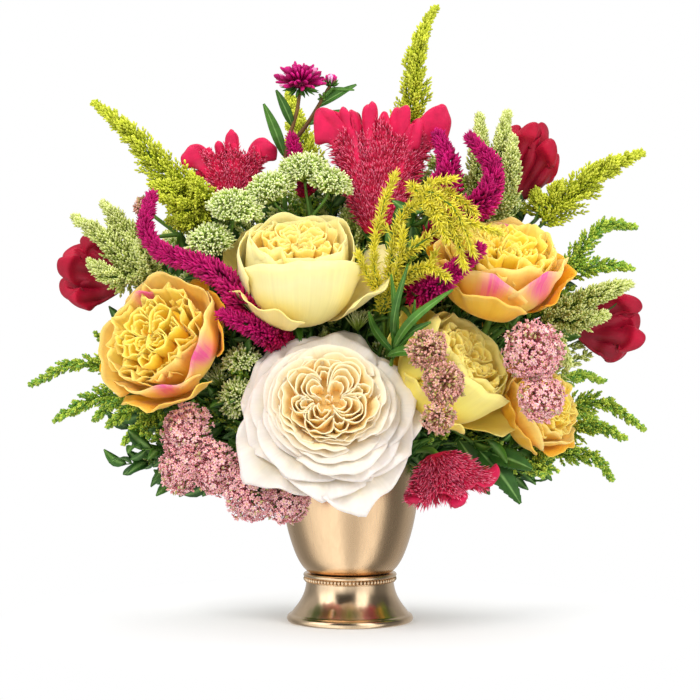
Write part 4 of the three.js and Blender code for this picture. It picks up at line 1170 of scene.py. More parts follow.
def even_directions(count, lowest):
    """Directions spread evenly over a sphere, from its top down to a height of `lowest`."""
    z = 1 - (np.arange(count) + 0.5) / count * (1 - lowest)
    return compass(np.arange(count) * GOLDEN) * np.sqrt(1 - z * z)[:, None] + UP * z[:, None]


def cap_points(count, lowest, random):
    return unit(even_directions(count, lowest) + random.normal(0, 0.035, (count, 3)))


def stalklets(pile, start, ends, random, girth, bow, tone):
    """Thin curved stalks from one place to many ends."""
    count, rings, sides = len(ends), 5, 4
    t = np.linspace(0, 1, rings)[:, None]
    reach = np.linalg.norm(ends - start, axis=1)
    sag = random.normal(0, 1, (count, 3)) * (reach * bow * 0.35)[:, None]
    middle = (start + ends) / 2 + sag
    spine = (1 - t) ** 2 * start + 2 * t * (1 - t) * middle[:, None] + t**2 * ends[:, None]
    side, front, _ = bases(np.gradient(spine, axis=1), np.zeros(1))
    angles = even_turns(sides)[:, None]
    ring = np.cos(angles) * side[:, :, None] + np.sin(angles) * front[:, :, None]
    points = (spine[:, :, None] + ring * girth).reshape(count, rings * sides, 3)
    points = np.concatenate([points, spine[:, :1], spine[:, -1:]], axis=1)
    size = rings * sides + 2
    along = np.tile(np.append(np.repeat(t, sides), [0, 1]), count)
    tones = np.repeat(np.broadcast_to(tone, count), size)
    pile.add(points.reshape(-1, 3), copied(round_faces(rings, sides), count, size), along, tones)


def stalked_domes(pile, foot, domes, face, seat, bend, girth):
    """Grows the stalk of each dome of a head, and gives the dome's centre and radius, the hub where
    its stalklets start, and its turn."""
    first = at(*domes[0][0])
    for i, (centre, radius) in enumerate(domes):
        centre = at(*centre)
        start = foot + (first - foot) * 0.12 * i
        axis = unit(unit(centre - start) + face)
        hub = centre - axis * radius * seat
        leave, arrive = start + (hub - start) * 0.4, hub - axis * bend
        route = Route(bezier(start, leave, arrive, hub, np.linspace(0, 1, 16)))
        pile.skin = 1
        tube(pile, route, lambda s: girth - 0.3 * s, 8, 20, 0.6)
        pile.skin = 0
        yield centre, radius, hub, turn_to(axis)


def umbel(foot, domes, face, length):
    """Domes of blunt buds in little bunches."""

    def grow(pile, random):
        for centre, radius, hub, turn in stalked_domes(pile, foot, domes, face, 0.35, 6, 1.2):
            count = int(0.55 * radius**2)
            ways = cap_points(count, -0.15, random) * (1.12, 1.12, 0.85)
            deep = random.uniform(0.82, 1.0, count)[:, None]
            ends = centre + (ways * (radius - length * 0.4) * deep) @ turn.T
            stalklets(pile, hub, ends, random, 0.3, 0.25, random.uniform(0.1, 0.5, count))
            out = unit(ways) @ turn.T
            for k in range(6):
                astray = random.normal(0, 1, (count, 3))
                axes = unit(out + unit(astray) * (0.55 if k else 0.1))
                # Deeper layers of buds get a slightly darker tone: painted shade inside the dome.
                scatter(pile, BLUNT, ends - out * (0.6 + 0.6 * k), axes, random.uniform(3.0, 4.8, count),
                        random.uniform(0.5, 0.72, count), random.uniform(0.2, 1.0, count) * (1 - 0.08 * k))

    return grow


def stonecrop(foot, domes, face, dusky=0.0):
    """Flat domes of open stars with buds between and under them."""

    def grow(pile, random):
        for centre, radius, hub, turn in stalked_domes(pile, foot, domes, face, 0.45, 7, 1.4):
            count = int(0.56 * radius**2)
            ways = cap_points(count, -0.3, random) * (1, 1, 0.72)
            deep = random.uniform(0.78, 1.02, count)[:, None]
            ends = centre + (ways * (radius - 1.5) * deep) @ turn.T
            stalklets(pile, hub, ends, random, 0.36, 0.3, random.uniform(0.0, 0.4, count))
            out = unit(ways) @ turn.T
            is_star = random.random(count) < (0.4 if dusky else 0.72)
            axes = unit(out + random.normal(0, 0.22, (count, 3)))
            star, bud = np.nonzero(is_star)[0], np.nonzero(~is_star)[0]
            stars, buds = len(star), len(bud)
            scatter(pile, STAR, ends[star], axes[star], random.uniform(1.9, 2.7, stars),
                    random.uniform(1.9, 2.7, stars), random.uniform(0.2, 1.0, stars), 0.0,
                    random.uniform(0, TURN, stars))
            for _ in range(3):
                leans = unit(axes[bud] + random.normal(0, 0.45, (buds, 3)))
                scatter(pile, BUD, ends[bud] - out[bud] * 0.6, leans,
                        random.uniform(2.0, 3.4 + dusky, buds), random.uniform(0.6, 0.95, buds),
                        random.uniform(0, 1, buds), np.where(random.random(buds) < 0.35, 0.7, 0.0))
            low = random.choice(count, count // 2, replace=False)
            lows = len(low)
            under = ends[low] - out[low] * random.uniform(3, 6, lows)[:, None]
            leans = unit(out[low] + random.normal(0, 0.6, (lows, 3)))
            scatter(pile, BUD, under, leans, random.uniform(1.8, 2.8, lows), random.uniform(0.5, 0.8, lows),
                    0.2, random.uniform(0.2, 1.0, lows))

    return grow


# ---- Cockscombs ------------------------------------------------------------------------------


def crest_frame(up, across):
    """Upwards, sideways and to the face of a crest."""
    rise = unit(up)
    sideways = unit(across - rise * rise.dot(across))
    return rise, sideways, np.cross(sideways, rise)


def fan_surface(foot, up, across, height, width, waves, swell, neck):
    """A waved fan: u from -1 to 1 across it, v from 0 at its foot to 1 at its crest."""
    directions = crest_frame(up, across)

    def surface(u, v):
        crest = 1 - 0.18 * u**2 + 0.07 * np.cos(u * math.pi * 2.5)
        aside = u * width / 2 * (neck + (1 - neck) * v**0.85)
        wave = swell * v**2 * np.sin(u * math.pi * waves)
        return laid_out(foot, directions, height * v * crest, aside, wave)

    return surface


def slopes(surface, u, v, step):
    """Which way a surface runs across and along it."""
    return surface(u + step, v) - surface(u - step, v), surface(u, v + step) - surface(u, v - step)


def tongue(pile, root, up, across, height, width, thick, hook, narrow, tone, random):
    """A smooth rounded lobe of a crest: narrow below, flaring to a thick rolled rim, hooked to one
    side."""
    u, v = spans(34, 33)
    turn = random.uniform(0, TURN, 3)
    rim = ease(v, 0.55, 1.0)
    top = 1 - (0.1 * u**2 + 0.3 * u**6) * ease(v, 0.1, 1) + 0.035 * np.sin(u * 4 + turn[0]) * rim
    spread = width / 2 * (narrow + (1 - narrow) * ease(v, 0.05, 0.9))
    wave = 1.8 * v**1.5 * (np.sin(u * 3.0 + turn[1]) + 0.4 * np.sin(u * 7.0 + turn[2]) * rim)
    drop = abs(hook) * 0.3 * rim * np.clip(u * np.sign(hook), 0, 1)
    grid = laid_out(root, crest_frame(up, across), height * v * top - drop, u * spread + hook * v**2, wave)
    edge = rounded(u, 4, 0.02) * rounded(np.clip((v - 0.86) / 0.14, 0, 1), 2, 0.02)
    thickness = thick * edge * (0.6 + 0.6 * ease(v, 0.3, 0.86))
    sheet(pile, grid, thickness, 0.4 + 0.6 * v, tone, ease(v, 0.25, 0.6))


def bristles(pile, surface, count, random, thick, length, rise):
    """Fine curved hairs over both faces of a surface, combed upwards and outwards."""
    u = random.uniform(-1, 1, count)
    v = 0.02 + 0.96 * random.random(count) ** 0.7
    side = np.where(random.random(count) < 0.5, 1.0, -1.0)
    normal = unit(np.cross(*slopes(surface, u, v, 0.01))) * side[:, None]
    across, onward = (unit(way) for way in slopes(surface, u, v, 0.02))
    origins = surface(u, v) + normal * (thick * 0.25)
    outwards = 0.55 * u + 0.5 * np.sign(u) * np.abs(u) ** 6
    fan = onward * 0.8 + across * outwards[:, None] + rise * 0.15
    axes = unit(normal * 0.8 + fan + random.normal(0, 0.24, (count, 3)))
    lengths = random.uniform(*length, count)
    first = lengths * 0.55
    tones = random.uniform(0, 1, count)
    widths = random.uniform(0.8, 1.2, count) * 0.44
    scatter(pile, ROD, origins, axes, first, widths, tones * 0.5)
    further = unit(axes + fan * 0.3 - normal * 0.1 + random.normal(0, 0.12, (count, 3)))
    joints = origins + axes * (first * 0.93)[:, None]
    scatter(pile, SPINE, joints, further, lengths * 0.5, widths * 0.85, tones)


def crimson(foot, up, across, height, width, waves, swell, lobes, thick=5.0, neck=0.24, hairs=2200,
            hair=(3.4, 5.4)):
    """A bristly fan with smooth lobes along its crest, each given by its place across the fan, how
    high it reaches, its width, how far its tip hooks sideways, its depth and its own neck. The fan
    stops short of the crest, and the lobes start at the share `low` of it."""
    low, fan_share = 0.62, 0.82

    def grow(pile, random):
        rise, sideways, face = crest_frame(up, across)
        surface = fan_surface(foot, up, across, height * fan_share, width * 0.86, waves, swell, neck)
        u, v = spans(32, 61)
        ragged = 1 + 0.05 * np.sin(u * 9 + 1) + 0.04 * np.sin(u * 17)
        thickness = thick * 0.8 * rounded(u, 6, 0.02) * (1 - 0.5 * ease(v, 0.8, 1.0))
        sheet(pile, surface(u, v * ragged), thickness, 0.2 + 0.4 * v, 0.3)
        bristles(pile, surface, hairs, random, thick, hair, rise)
        for place, share, wide, hook, depth, narrow in lobes:
            spot = surface(np.array([place]), np.array([low]))[0] + face * depth
            reach = height * (share - fan_share * low) * (1 - 0.18 * place**2)
            way = unit(rise + sideways * place * (0.6 if abs(place) > 0.7 else 0.35))
            tone = random.uniform(0.5, 0.9)
            tongue(pile, spot, way, sideways, reach, wide, thick * 0.8, hook, narrow, tone, random)

    return grow


def velvet(foot, up, across, height, width, swell, lobes, slit, thick=7.5, neck=0.3):
    """A smooth velvety crest: a fan whose thick rolled rim swells into rounded lobes that stand
    before and behind each other, with one deep slit, narrower at its mouth, between two of them."""

    def grow(pile, random):
        u, v = spans(56, 131)
        turn = random.uniform(0, TURN, 6)
        phase = (u + 1) / 2 * lobes
        round_lobe = np.abs(np.sin(phase * math.pi)) ** 0.5
        valley = np.exp(-((phase - slit) ** 2) / 0.09)
        outline = 1 - (0.2 + 0.3 * valley) * (1 - round_lobe) * ease(v, 0.4, 0.95)
        outline = outline + 0.04 * np.sin(u * 9 + turn[0]) * v
        bulge = ease(v, 0.5, 1.0)
        swollen = u - (0.06 + 0.05 * valley) * np.sin(phase * TURN) * ease(v, 0.55, 0.95) * (1 - u**8)
        fan = 1.3 * swollen
        spread = width / 2 * (neck * (1 - v) + v**0.9) / math.sin(1.3)
        tall = height * v * outline * (0.3 + 0.7 * np.cos(fan))
        aside = np.sin(fan) * spread * outline
        wave = swell * bulge * np.sin(phase * math.pi + 0.4 * np.sin(turn[1]))
        wave = wave + 1.6 * ease(v, 0.1, 0.6) * np.sin(phase * TURN + turn[5])
        wave = wave + 1.2 * bulge * np.sin(u * 14 + turn[2])
        soft = np.sin(u * 5 + v * 5 + turn[3]) * np.sin(v * 7 - u * 4 + turn[4])
        wave = wave + 1.6 * soft * ease(v, 0.1, 0.5)
        grid = laid_out(foot, crest_frame(up, across), tall, aside, wave)
        edge = rounded(np.clip((v - 0.84) / 0.16, 0, 1), 2, 0.015) * rounded(u, 10, 0.03)
        rim = np.exp(-(((v - 0.86) / 0.1) ** 2))
        thickness = thick * (0.42 + 0.15 * ease(v, 0.1, 0.5) + 0.6 * rim) * edge
        # Lighter along the rolled rim: a painted highlight, with a little uneven tone over it.
        tone = np.clip(0.2 + 0.45 * rim + 0.1 * np.sin(u * 6 + v * 4 + turn[5]), 0, 1)
        sheet(pile, grid, thickness, 0.2 + 0.8 * v, tone)

    return grow


# ---- The aster -------------------------------------------------------------------------------

HEAD_SEAT = at(-31, 12, 334), unit(at(0, -0.45, 0.9))
BUD_SEAT = at(-12, 12, 335), unit(at(0.1, -0.2, 1))
ASTER_FOOT = at(-41, 12, 284)
ASTER_DISC = [(0.3, -2.4), (3.4, -1.6), (5.2, 1.2), (3.8, 3.4), (0.2, 4.2)]
# Rings of rays and bracts: how many, at what height and radius, how far they lean, their length.
ASTER_RAYS = [(21, 1.2, 4.4, 1.35, 13.0), (18, 2.4, 3.8, 1.0, 12.0), (15, 3.2, 2.8, 0.66, 10.5),
              (10, 3.8, 1.6, 0.3, 9.0)]
ASTER_BRACTS = [(14, -1.6, 1.75, 10.5), (12, -2.0, 2.05, 7.5)]
BUD_RAYS = [(9, 1.5, 0.3, 6.4), (7, 0.9, 0.12, 7.0), (3, 0.3, 0.04, 7.2)]
BUD_BRACTS = [(8, 0.62, 6.0), (7, 1.0, 5.0)]
ASTER_LEAVES = [
    ((-41, 12.5, 289), (-54, 14, 322), 3.2),
    ((-36, 12, 308), (-46, 8, 330), 2.8),
    ((-27, 12, 309), (-4, 14, 318), 2.4),
    ((-20, 12, 320), (4, 14, 334), 2.2),
]


def whorl(pile, shape, seat, angle, lean, radius, height, *looks):
    """Rays or bracts round the axis of a seat, (base, axis), each leaning away from it."""
    base, axis = seat
    out = compass(angle)
    lean = np.broadcast_to(lean, len(angle))[:, None]
    axes = (out * np.sin(lean) + UP * np.cos(lean)) @ turn_to(axis).T
    scatter(pile, shape, placed(base, axis)(out * radius + UP * height), axes, *looks)


def aster_head():
    random = draws("aster_head")
    pile = Pile()
    cup(pile, placed(*HEAD_SEAT), ASTER_DISC, 0.4, 0.2, 0.2)
    for ring, (count, height, radius, tilt, length) in enumerate(ASTER_RAYS):
        angle = (np.arange(count) + 0.4 * ring) * TURN / count + random.normal(0, 0.06, count)
        lean = tilt + random.normal(0, 0.1, count)
        whorl(pile, RAY, HEAD_SEAT, angle, lean, radius, height, length * random.uniform(0.82, 1.08, count),
              random.uniform(1.5, 2.0, count), random.uniform(0.1, 1.0, count),
              np.where(random.random(count) < 0.12, 0.5, 0.0))
    pile.skin = 1
    for ring, (count, height, tilt, length) in enumerate(ASTER_BRACTS):
        angle = (np.arange(count) + 0.5 * ring) * TURN / count + random.normal(0, 0.08, count)
        lean = tilt + random.normal(0, 0.12, count)
        whorl(pile, SCALE, HEAD_SEAT, angle, lean, 2.6, height, length * random.uniform(0.8, 1.1, count),
              random.uniform(0.9, 1.3, count), random.uniform(0.4, 1.0, count), 0.0, angle + math.pi / 2)
    pile.build("aster_head_rays", [ASTER, LEAF_GREEN], "aster_petal", "aster_head")


def aster_bud():
    random = draws("aster_bud")
    pile = Pile()
    for ring, (count, radius, tilt, length) in enumerate(BUD_RAYS):
        angle = (np.arange(count) + 0.5 * ring) * TURN / count
        whorl(pile, RAY, BUD_SEAT, angle, tilt, radius, -1.6, length * random.uniform(0.9, 1.05, count),
              1.5, random.uniform(0.5, 1, count), np.where(np.abs(angle - 4.5) < 0.6, 0.9, 0.0))
    pile.skin = 1
    for count, tilt, length in BUD_BRACTS:
        angle = even_turns(count) + tilt
        whorl(pile, SCALE, BUD_SEAT, angle, tilt, 1.2, -2.4, length, 0.95, random.uniform(0.5, 1, count),
              0.0, angle + math.pi / 2)
    pile.build("aster_bud_rays", [ASTER, LEAF_GREEN], "aster_petal", "aster_bud")


def grow_aster(pile, random):
    """Two forked stalks with narrow leaves, and the threads and buds under the upper bud."""
    pile.skin = 1
    face = at(0.1, -0.9, 0.3)
    head_way = spline(ASTER_FOOT, (-38, 12, 300), (-33, 12, 318), HEAD_SEAT[0] + at(0, 0.6, -1))
    fork = head_way.spot([0.2])[0]
    bud_way = spline(fork, (-29, 12, 306), (-20, 12, 320), BUD_SEAT[0] + at(0, 0.6, -1))
    for way in (head_way, bud_way):
        tube(pile, way, lambda s: 1.5 - 0.4 * s, 9, 40, 0.6, 0.75)
    pile.skin = 2
    for root, tip, half in ASTER_LEAVES:
        blade(pile, at(*root), at(*tip), half, face, 0.06, fold=0.3, tone=random.uniform(0.4, 0.9))
    for k in range(7):
        root = bud_way.spot([0.75 + 0.03 * k])[0]
        tip = root + at(5 + 1.9 * k, random.uniform(-3, 3), 9 - 3.2 * k * 0.55 + random.uniform(-1, 1))
        blade(pile, root, tip, 0.9, face, 0.05, tone=0.8, rows=12)
    pile.skin = 1
    for _ in range(14):
        root = bud_way.spot([0.8])[0] + random.normal(0, 0.8, 3)
        way = unit(at(random.uniform(-1, 0.4), -0.6, random.uniform(-0.3, 1)))
        scatter(pile, BUD, root[None], way[None], 3.2, 0.9, 0.7)


# ---- Which plants there are, from the front left round to the back ---------------------------

APRICOT_BLOOM = APRICOT, "apricot_petal"
# Each rose: its name, material and slot, where its bloom sits and faces, its scale, form and turn.
ROSES = [
    ("white_rose", IVORY, "ivory_petal", (-13, -59, 127), (0.03, -0.87, 0.49), 0.96, OPEN_ROSE, 0.0),
    ("cream_rose", CREAM, "cream_petal", (-33, -30, 190), (0.03, -0.5, 0.866), 1.0, CUP_ROSE, 0.0),
    ("apricot_rose_left", *APRICOT_BLOOM, (-99, -27, 161), (-0.48, -0.75, 0.45), 0.95, RUFFLED_ROSE, 0.0),
    ("apricot_rose_right", *APRICOT_BLOOM, (86, -32, 196), (0.12, -0.5, 0.86), 0.95, RUFFLED_ROSE, 0.0),
    ("yellow_rose", LEMON, "lemon_petal", (41, -33, 141), (0.69, -0.45, 0.56), 0.9, CUP_ROSE, 0.5),
    ("small_apricot_rose", *APRICOT_BLOOM, (103, -8, 126), (0.7, -0.6, 0.38), 0.68, GOLDEN_ROSE, 0.0),
    ("back_white_rose", IVORY, "ivory_petal", (6, 54, 132), (0, 0.86, 0.5), 0.88, OPEN_ROSE, 0.2),
    ("back_cream_rose", CREAM, "cream_petal", (-50, 42, 176), (-0.35, 0.6, 0.72), 0.95, CUP_ROSE, 0.7),
    ("back_apricot_rose", *APRICOT_BLOOM, (60, 40, 164), (0.45, 0.7, 0.55), 0.95, RUFFLED_ROSE, 0.0),
]

# How far below the base of its bloom a rose's stem ends, and how thick it is.
ROSE_STEM_DROP, ROSE_STEM_RADIUS = 7, 2.1

# Where leaves spring and end, with half their widths, and for narrow leaves how far they bow.
LOW_LEAVES = [
    ((84, -30, 106), (110, -38, 97), 6.5),
    ((78, -29.5, 108), (103, -36, 76), 7.0),
    ((66, -28.5, 114), (84, -32, 82), 6.0),
]

NARROW_FOOT = at(25, -58, 164)
NARROW_LEAVES = [
    ((54, -86, 166), 3.0, 0.16),
    ((38, -80, 199), 2.3, -0.12),
    ((60, -84, 205), 2.6, 0.2),
    ((24, -74, 214), 2.0, 0.1),
    ((11, -72, 192), 2.2, -0.2),
    ((47, -86, 186), 2.8, 0.1),
    ((34, -78, 220), 1.9, 0.24),
]


def grow_low_leaves(pile):
    """A stalk of toothed leaves under the yellow rose."""
    pile.skin = 0
    stalk = spline((36, -29.6, 136.5), (62, -29, 121), (86, -30, 105))
    tube(pile, stalk, lambda s: 1.4 - 0.5 * s, 8, 24, 0.4)
    pile.skin = 1
    for root, tip, half in LOW_LEAVES:
        blade(pile, at(*root), at(*tip), half, at(0.2, -0.9, 0.4), 0.08, 11, tone=0.25, rows=56)


def rose_stem(base, axis, leafy):
    def grow(pile, random):
        pile.skin = 1
        calyx(pile, base, axis, random)
        if leafy:
            grow_low_leaves(pile)

    return grow


def add_roses():
    for name, material, slot, base, axis, scale, form, spin in ROSES:
        base, axis = at(*base), unit(at(*axis))
        rose_bloom(name, material, slot, base, axis, scale, form, spin)
        grow = rose_stem(base, axis, name == "yellow_rose")
        foot = base - axis * ROSE_STEM_DROP
        plant(name, [STEM_GREEN, LEAF_GREEN], "stem", foot, axis, grow, ROSE_STEM_RADIUS)


def add_spray(name, material, slot, kind, foot, leader, sides=(), fork=0.1, small=False):
    """A spray from its foot along a leader, with side branches that leave it one after another,
    each `fork` further on. A small one is in the scene alone."""
    foot = at(*foot)
    leader = [at(*p) for p in leader]
    sides = [[at(*p) for p in side] for side in sides]
    grow = spray(foot, leader, sides, kind, fork)
    radius = 1.1 if small else 1.6
    plant(name, [material, STEM_GREEN], slot, foot, leader[0] - foot, grow, radius, small)


def grow_narrow_leaves(pile, random):
    for tip, half, bow in NARROW_LEAVES:
        root = NARROW_FOOT + at(0, -1.5, 4) * random.uniform(0, 2) + random.normal(0, 1.0, 3)
        face = at(*random.uniform((-0.7, -1, 0), (0.7, -0.7, 0.5)))
        blade(pile, root, at(*tip), half, face, bow, fold=0.35, tone=random.uniform(0.5, 1.0), rows=18)


def add_plants():
    add_roses()
    plant("narrow_leaves", [LEAF_GREEN, STEM_GREEN], "frond_green", NARROW_FOOT, at(0.1, -0.4, 0.9),
          grow_narrow_leaves, 1.2, True)
    lime = LIME, "lime_plume", LIME_SPRAY
    add_spray("lime_plume_left", *lime, (-86, 8, 250),
              [(-100, 9, 265), (-119, 9, 283), (-138, 10, 304), (-159, 12, 322)],
              [[(-84, -6, 258), (-79, -14, 260)], [(-96, -4, 248), (-111, -12, 248)],
               [(-98, -6, 254), (-116, -14, 262)], [(-90, -10, 262), (-97, -16, 276)],
               [(-104, -4, 266), (-122, -8, 270)]], 0.05)
    add_spray("lime_plume_top", *lime, (31, 18, 268),
              [(36, 16, 300), (41, 14, 332), (41, 14, 350), (47, 14, 370), (53, 14, 381)])
    add_spray("lime_plume_right", *lime, (116, 8, 243),
              [(129, 9, 255), (146, 10, 270), (163, 11, 283), (182, 12, 291)],
              [[(118, 8, 256), (116, 7, 267)], [(126, 6, 262), (131, 6, 272)]])
    add_spray("lime_plume_back", *lime, (-22, 44, 262), [(-29, 58, 292), (-36, 72, 318), (-40, 80, 336)])
    frond = FROND, "frond_green", FROND_SPRAY
    add_spray("green_frond_left", *frond, (-108, -10, 140),
              [(-135, -10, 152), (-157, -9, 160), (-175, -8, 158), (-197, -6, 147)],
              [[(-122, -24, 128), (-137, -34, 113)], [(-128, -22, 136), (-147, -28, 123)],
               [(-133, -15, 142), (-160, -16, 138), (-180, -18, 126)], [(-138, -2, 164), (-157, -2, 178)]],
              0.07)
    add_spray("green_frond_low_right", *frond, (112, 10, 114),
              [(126, 6, 126), (142, 2, 134), (158, -2, 135), (181, -6, 120)],
              [[(115, -6, 101), (117, -30, 93)], [(126, 2, 107), (151, -14, 101), (160, -20, 90)],
               [(136, 4, 119), (152, -4, 121), (169, -12, 114)]], 0.06)
    add_spray("green_frond_right", *frond, (128, 2, 212),
              [(140, 2, 226), (149, 2, 237), (160, 4, 246), (177, 4, 245)],
              [[(145, -3, 218), (158, -6, 221), (174, -6, 219)]], 0.06)
    add_spray("green_frond_back_right", *frond, (105, 52, 128),
              [(130, 66, 142), (150, 80, 150), (168, 92, 146)],
              [[(125, 72, 130), (142, 90, 130), (152, 104, 122)],
               [(130, 58, 126), (150, 64, 126), (168, 70, 114)]], 0.06)
    add_spray("green_frond_back_left", *frond, (-105, 50, 140),
              [(-128, 62, 154), (-146, 74, 162), (-164, 84, 160)],
              [[(-124, 68, 140), (-140, 84, 138), (-150, 98, 130)],
               [(-130, 54, 136), (-150, 58, 134), (-166, 62, 122)]], 0.06)
    pale = PANICLE, "pale_green", PANICLE_SPRAY
    add_spray("pale_panicle_left", *pale, (-118, -12, 206),
              [(-136, -16, 222), (-152, -18, 238), (-168, -18, 249)],
              [[(-122, -22, 218), (-128, -28, 234)], [(-130, -11, 230), (-142, -10, 246), (-151, -10, 258)],
               [(-138, -20, 212), (-150, -24, 216), (-158, -24, 222)]])
    add_spray("pale_panicle_top", *pale, (82, -2, 238), [(80, -6, 270), (80, -6, 312)],
              [[(94, -10, 262), (100, -12, 298)], [(90, -4, 278), (97, -4, 314)]])
    add_spray("pale_panicle_right", *pale, (118, -6, 182),
              [(140, -14, 196), (156, -16, 204), (171, -16, 209)],
              [[(126, -16, 174), (133, -22, 160)], [(140, -20, 186), (156, -22, 190)]])
    add_spray("pale_panicle_back", *pale, (-100, 32, 206), [(-108, 46, 222), (-118, 56, 242)],
              [[(-100, 50, 222), (-101, 66, 238)], [(-112, 40, 214), (-126, 48, 222)]])
    spike = MAGENTA, "magenta_floret", MAGENTA_SPRAY
    add_spray("magenta_spike_left", *spike, (-36, -32, 166),
              [(-44, -38, 177), (-52, -48, 187), (-61, -56, 195), (-68, -57, 204), (-80, -52, 215),
               (-96, -46, 222), (-116, -40, 230), (-124, -34, 244), (-120, -28, 262)],
              [[(-46, -48, 177), (-58, -60, 183), (-75, -64, 190)]])
    wide = {**MAGENTA_SPRAY, "core": 3.8, "reach": 17.0}
    add_spray("magenta_spike_upper", *spike[:2], wide, (50, -16, 250),
              [(57, -20, 266), (60, -18, 282), (54, -14, 300)])
    add_spray("magenta_spike_hooked", *spike[:2], wide, (48, -14, 226),
              [(65, -27, 250), (78, -34, 256), (85, -32, 267), (87, -30, 278), (82, -28, 287),
               (73, -26, 297)])
    add_spray("magenta_spike_low", *spike, (36, -44, 202), [(52, -72, 208), (64, -79, 218), (75, -83, 228)])
    add_spray("magenta_spike_small", *spike[:2], {**MAGENTA_SPRAY, "core": 1.8, "reach": 6.0},
              (-26, 4, 262), [(-30, 3, 278), (-36, 2, 299)])
    add_spray("magenta_spike_back", *spike, (78, 26, 226), [(90, 42, 250), (104, 56, 276)])
    add_spray("yellow_drooping_spray", YELLOW, "yellow_floret", YELLOW_SPRAY, (24, -48, 194),
              [(24, -66, 222), (32, -72, 250), (46, -82, 254), (60, -88, 240), (66, -90, 218)],
              [[(44, -82, 218), (56, -92, 212)], [(38, -76, 230), (62, -84, 244), (86, -88, 238)],
               [(18, -66, 244), (26, -70, 272)], [(36, -64, 254), (56, -70, 262), (73, -80, 250)],
               [(44, -80, 262), (58, -86, 254), (66, -92, 240), (71, -92, 226)],
               [(46, -76, 266), (60, -78, 269)], [(36, -76, 266), (48, -84, 252), (56, -92, 234)]], 0.13)
    add_spray("yellow_spray_low", YELLOW, "yellow_floret", {**YELLOW_SPRAY, "reach": 6.5}, (20, -46, 186),
              [(17, -58, 205), (14, -66, 222), (16, -70, 244)],
              [[(24, -62, 206), (30, -72, 226), (31, -76, 240)],
               [(28, -64, 208), (44, -76, 216), (50, -82, 226)], [(10, -62, 214), (5, -66, 226)]],
              small=True)
    add_heads()
    add_crests()
    plant("aster_stem", [ASTER, STEM_GREEN, LEAF_GREEN], "stem", ASTER_FOOT, at(0.1, 0, 1), grow_aster, 1.6)


def add_umbel(name, foot, domes, face=(0, -0.2, 0.9), length=6.5):
    foot = at(*foot)
    grow = umbel(foot, domes, at(*face), length)
    plant(name, [UMBEL, STEM_GREEN], "umbel_green", foot, at(*domes[0][0]) - foot, grow)


def add_stonecrop(name, foot, domes, face=(-0.2, -1.3, 0.1), material=STONECROP, arrive=None, **rest):
    foot = at(*foot)
    way = at(*domes[0][0]) - foot if arrive is None else at(*arrive)
    grow = stonecrop(foot, domes, at(*face), 0.8 if material == DUSKY else 0.0)
    plant(name, [material, STEM_GREEN], "stonecrop_pink", foot, way, grow, **rest)


def add_heads():
    for name, spot in (("dusky_sprig_left", (-129, 6, 258)), ("dusky_sprig_upper", (-99, 26, 288))):
        domes = [(spot, 7), (at(*spot) + (-3, 0, -17), 6)]
        add_stonecrop(name, at(*spot) * (0.8, 1, 0.92), domes, (-0.4, -0.3, 0.6), DUSKY, radius=1.1,
                      small=True)
    add_umbel("green_umbel_left", (-78, -14, 222), [((-85, -30, 233), 15), ((-70, -28, 253), 17)])
    add_umbel("green_umbel_top", (-20, -10, 240),
              [((-49, -18, 264), 17), ((-28, -14, 277), 16), ((-12, -20, 269), 14)])
    add_umbel("green_umbel_low", (-58, -34, 150), [((-65, -42, 162), 11), ((-67, -44, 140), 12)],
              length=4.5)
    add_umbel("green_umbel_back", (15, 50, 212),
              [((20, 62, 234), 18), ((-6, 64, 225), 15), ((42, 64, 221), 14)], (0, 0.7, 0.7))
    add_stonecrop("stonecrop_left", (-62, -40, 108),
                  [((-97, -50, 120), 19), ((-101, -50, 97), 16), ((-79, -60, 99), 18), ((-58, -66, 84), 18),
                   ((-37, -66, 80), 15)])
    add_stonecrop("stonecrop_front", (34, -54, 192),
                  [((45, -88, 170), 13), ((54, -96, 151), 14), ((51, -98, 131), 11)], material=DUSKY)
    add_stonecrop("stonecrop_right", (98, -14, 184), [((108, -68, 169), 20), ((113, -66, 141), 16)],
                  (0.3, -1.3, 0.1), arrive=(0.1, -1, -0.35))
    add_stonecrop("stonecrop_back", (-64, 42, 118), [((-82, 60, 130), 20), ((-70, 66, 104), 18)],
                  (-0.3, 1.2, 0.1))


def add_crest(name, material, slot, foot, up, across, grow, *sizes):
    foot, up, across = at(*foot), unit(at(*up)), at(*across)
    rise = unit(up)
    plant(name, [material, STEM_GREEN], slot, foot + rise, rise, grow(foot, up, across, *sizes), 2.0)


TOP_LOBES = [(-0.7, 1.08, 18, -11, 0, 0.55), (-0.56, 1.04, 7, -4, 2, 0.7), (-0.42, 1.03, 8, -2, -1, 0.7),
             (-0.22, 1.03, 7, 1, 1, 0.7), (0.32, 1.05, 14, 1, -1, 0.6), (0.52, 0.98, 7, 6, 2, 0.7),
             (0.74, 1.14, 19, 5, 0, 0.45)]
LEFT_LOBES = [(-0.85, 1.08, 17, -5, 1, 0.5), (-0.35, 0.98, 4.5, 0, -1, 0.8), (0.05, 1.03, 7, 0, 1, 0.7),
              (0.75, 1.06, 17, 4, 0, 0.45), (-1.0, 0.75, 10, -5, -2, 0.5)]
LOW_LOBES = [(-0.85, 0.95, 13, -3, 1, 0.5), (0.1, 1.02, 12, 0, 1, 0.6), (0.5, 0.9, 9, 2, -1, 0.6),
             (0.9, 1.0, 15, 6, 1, 0.4)]


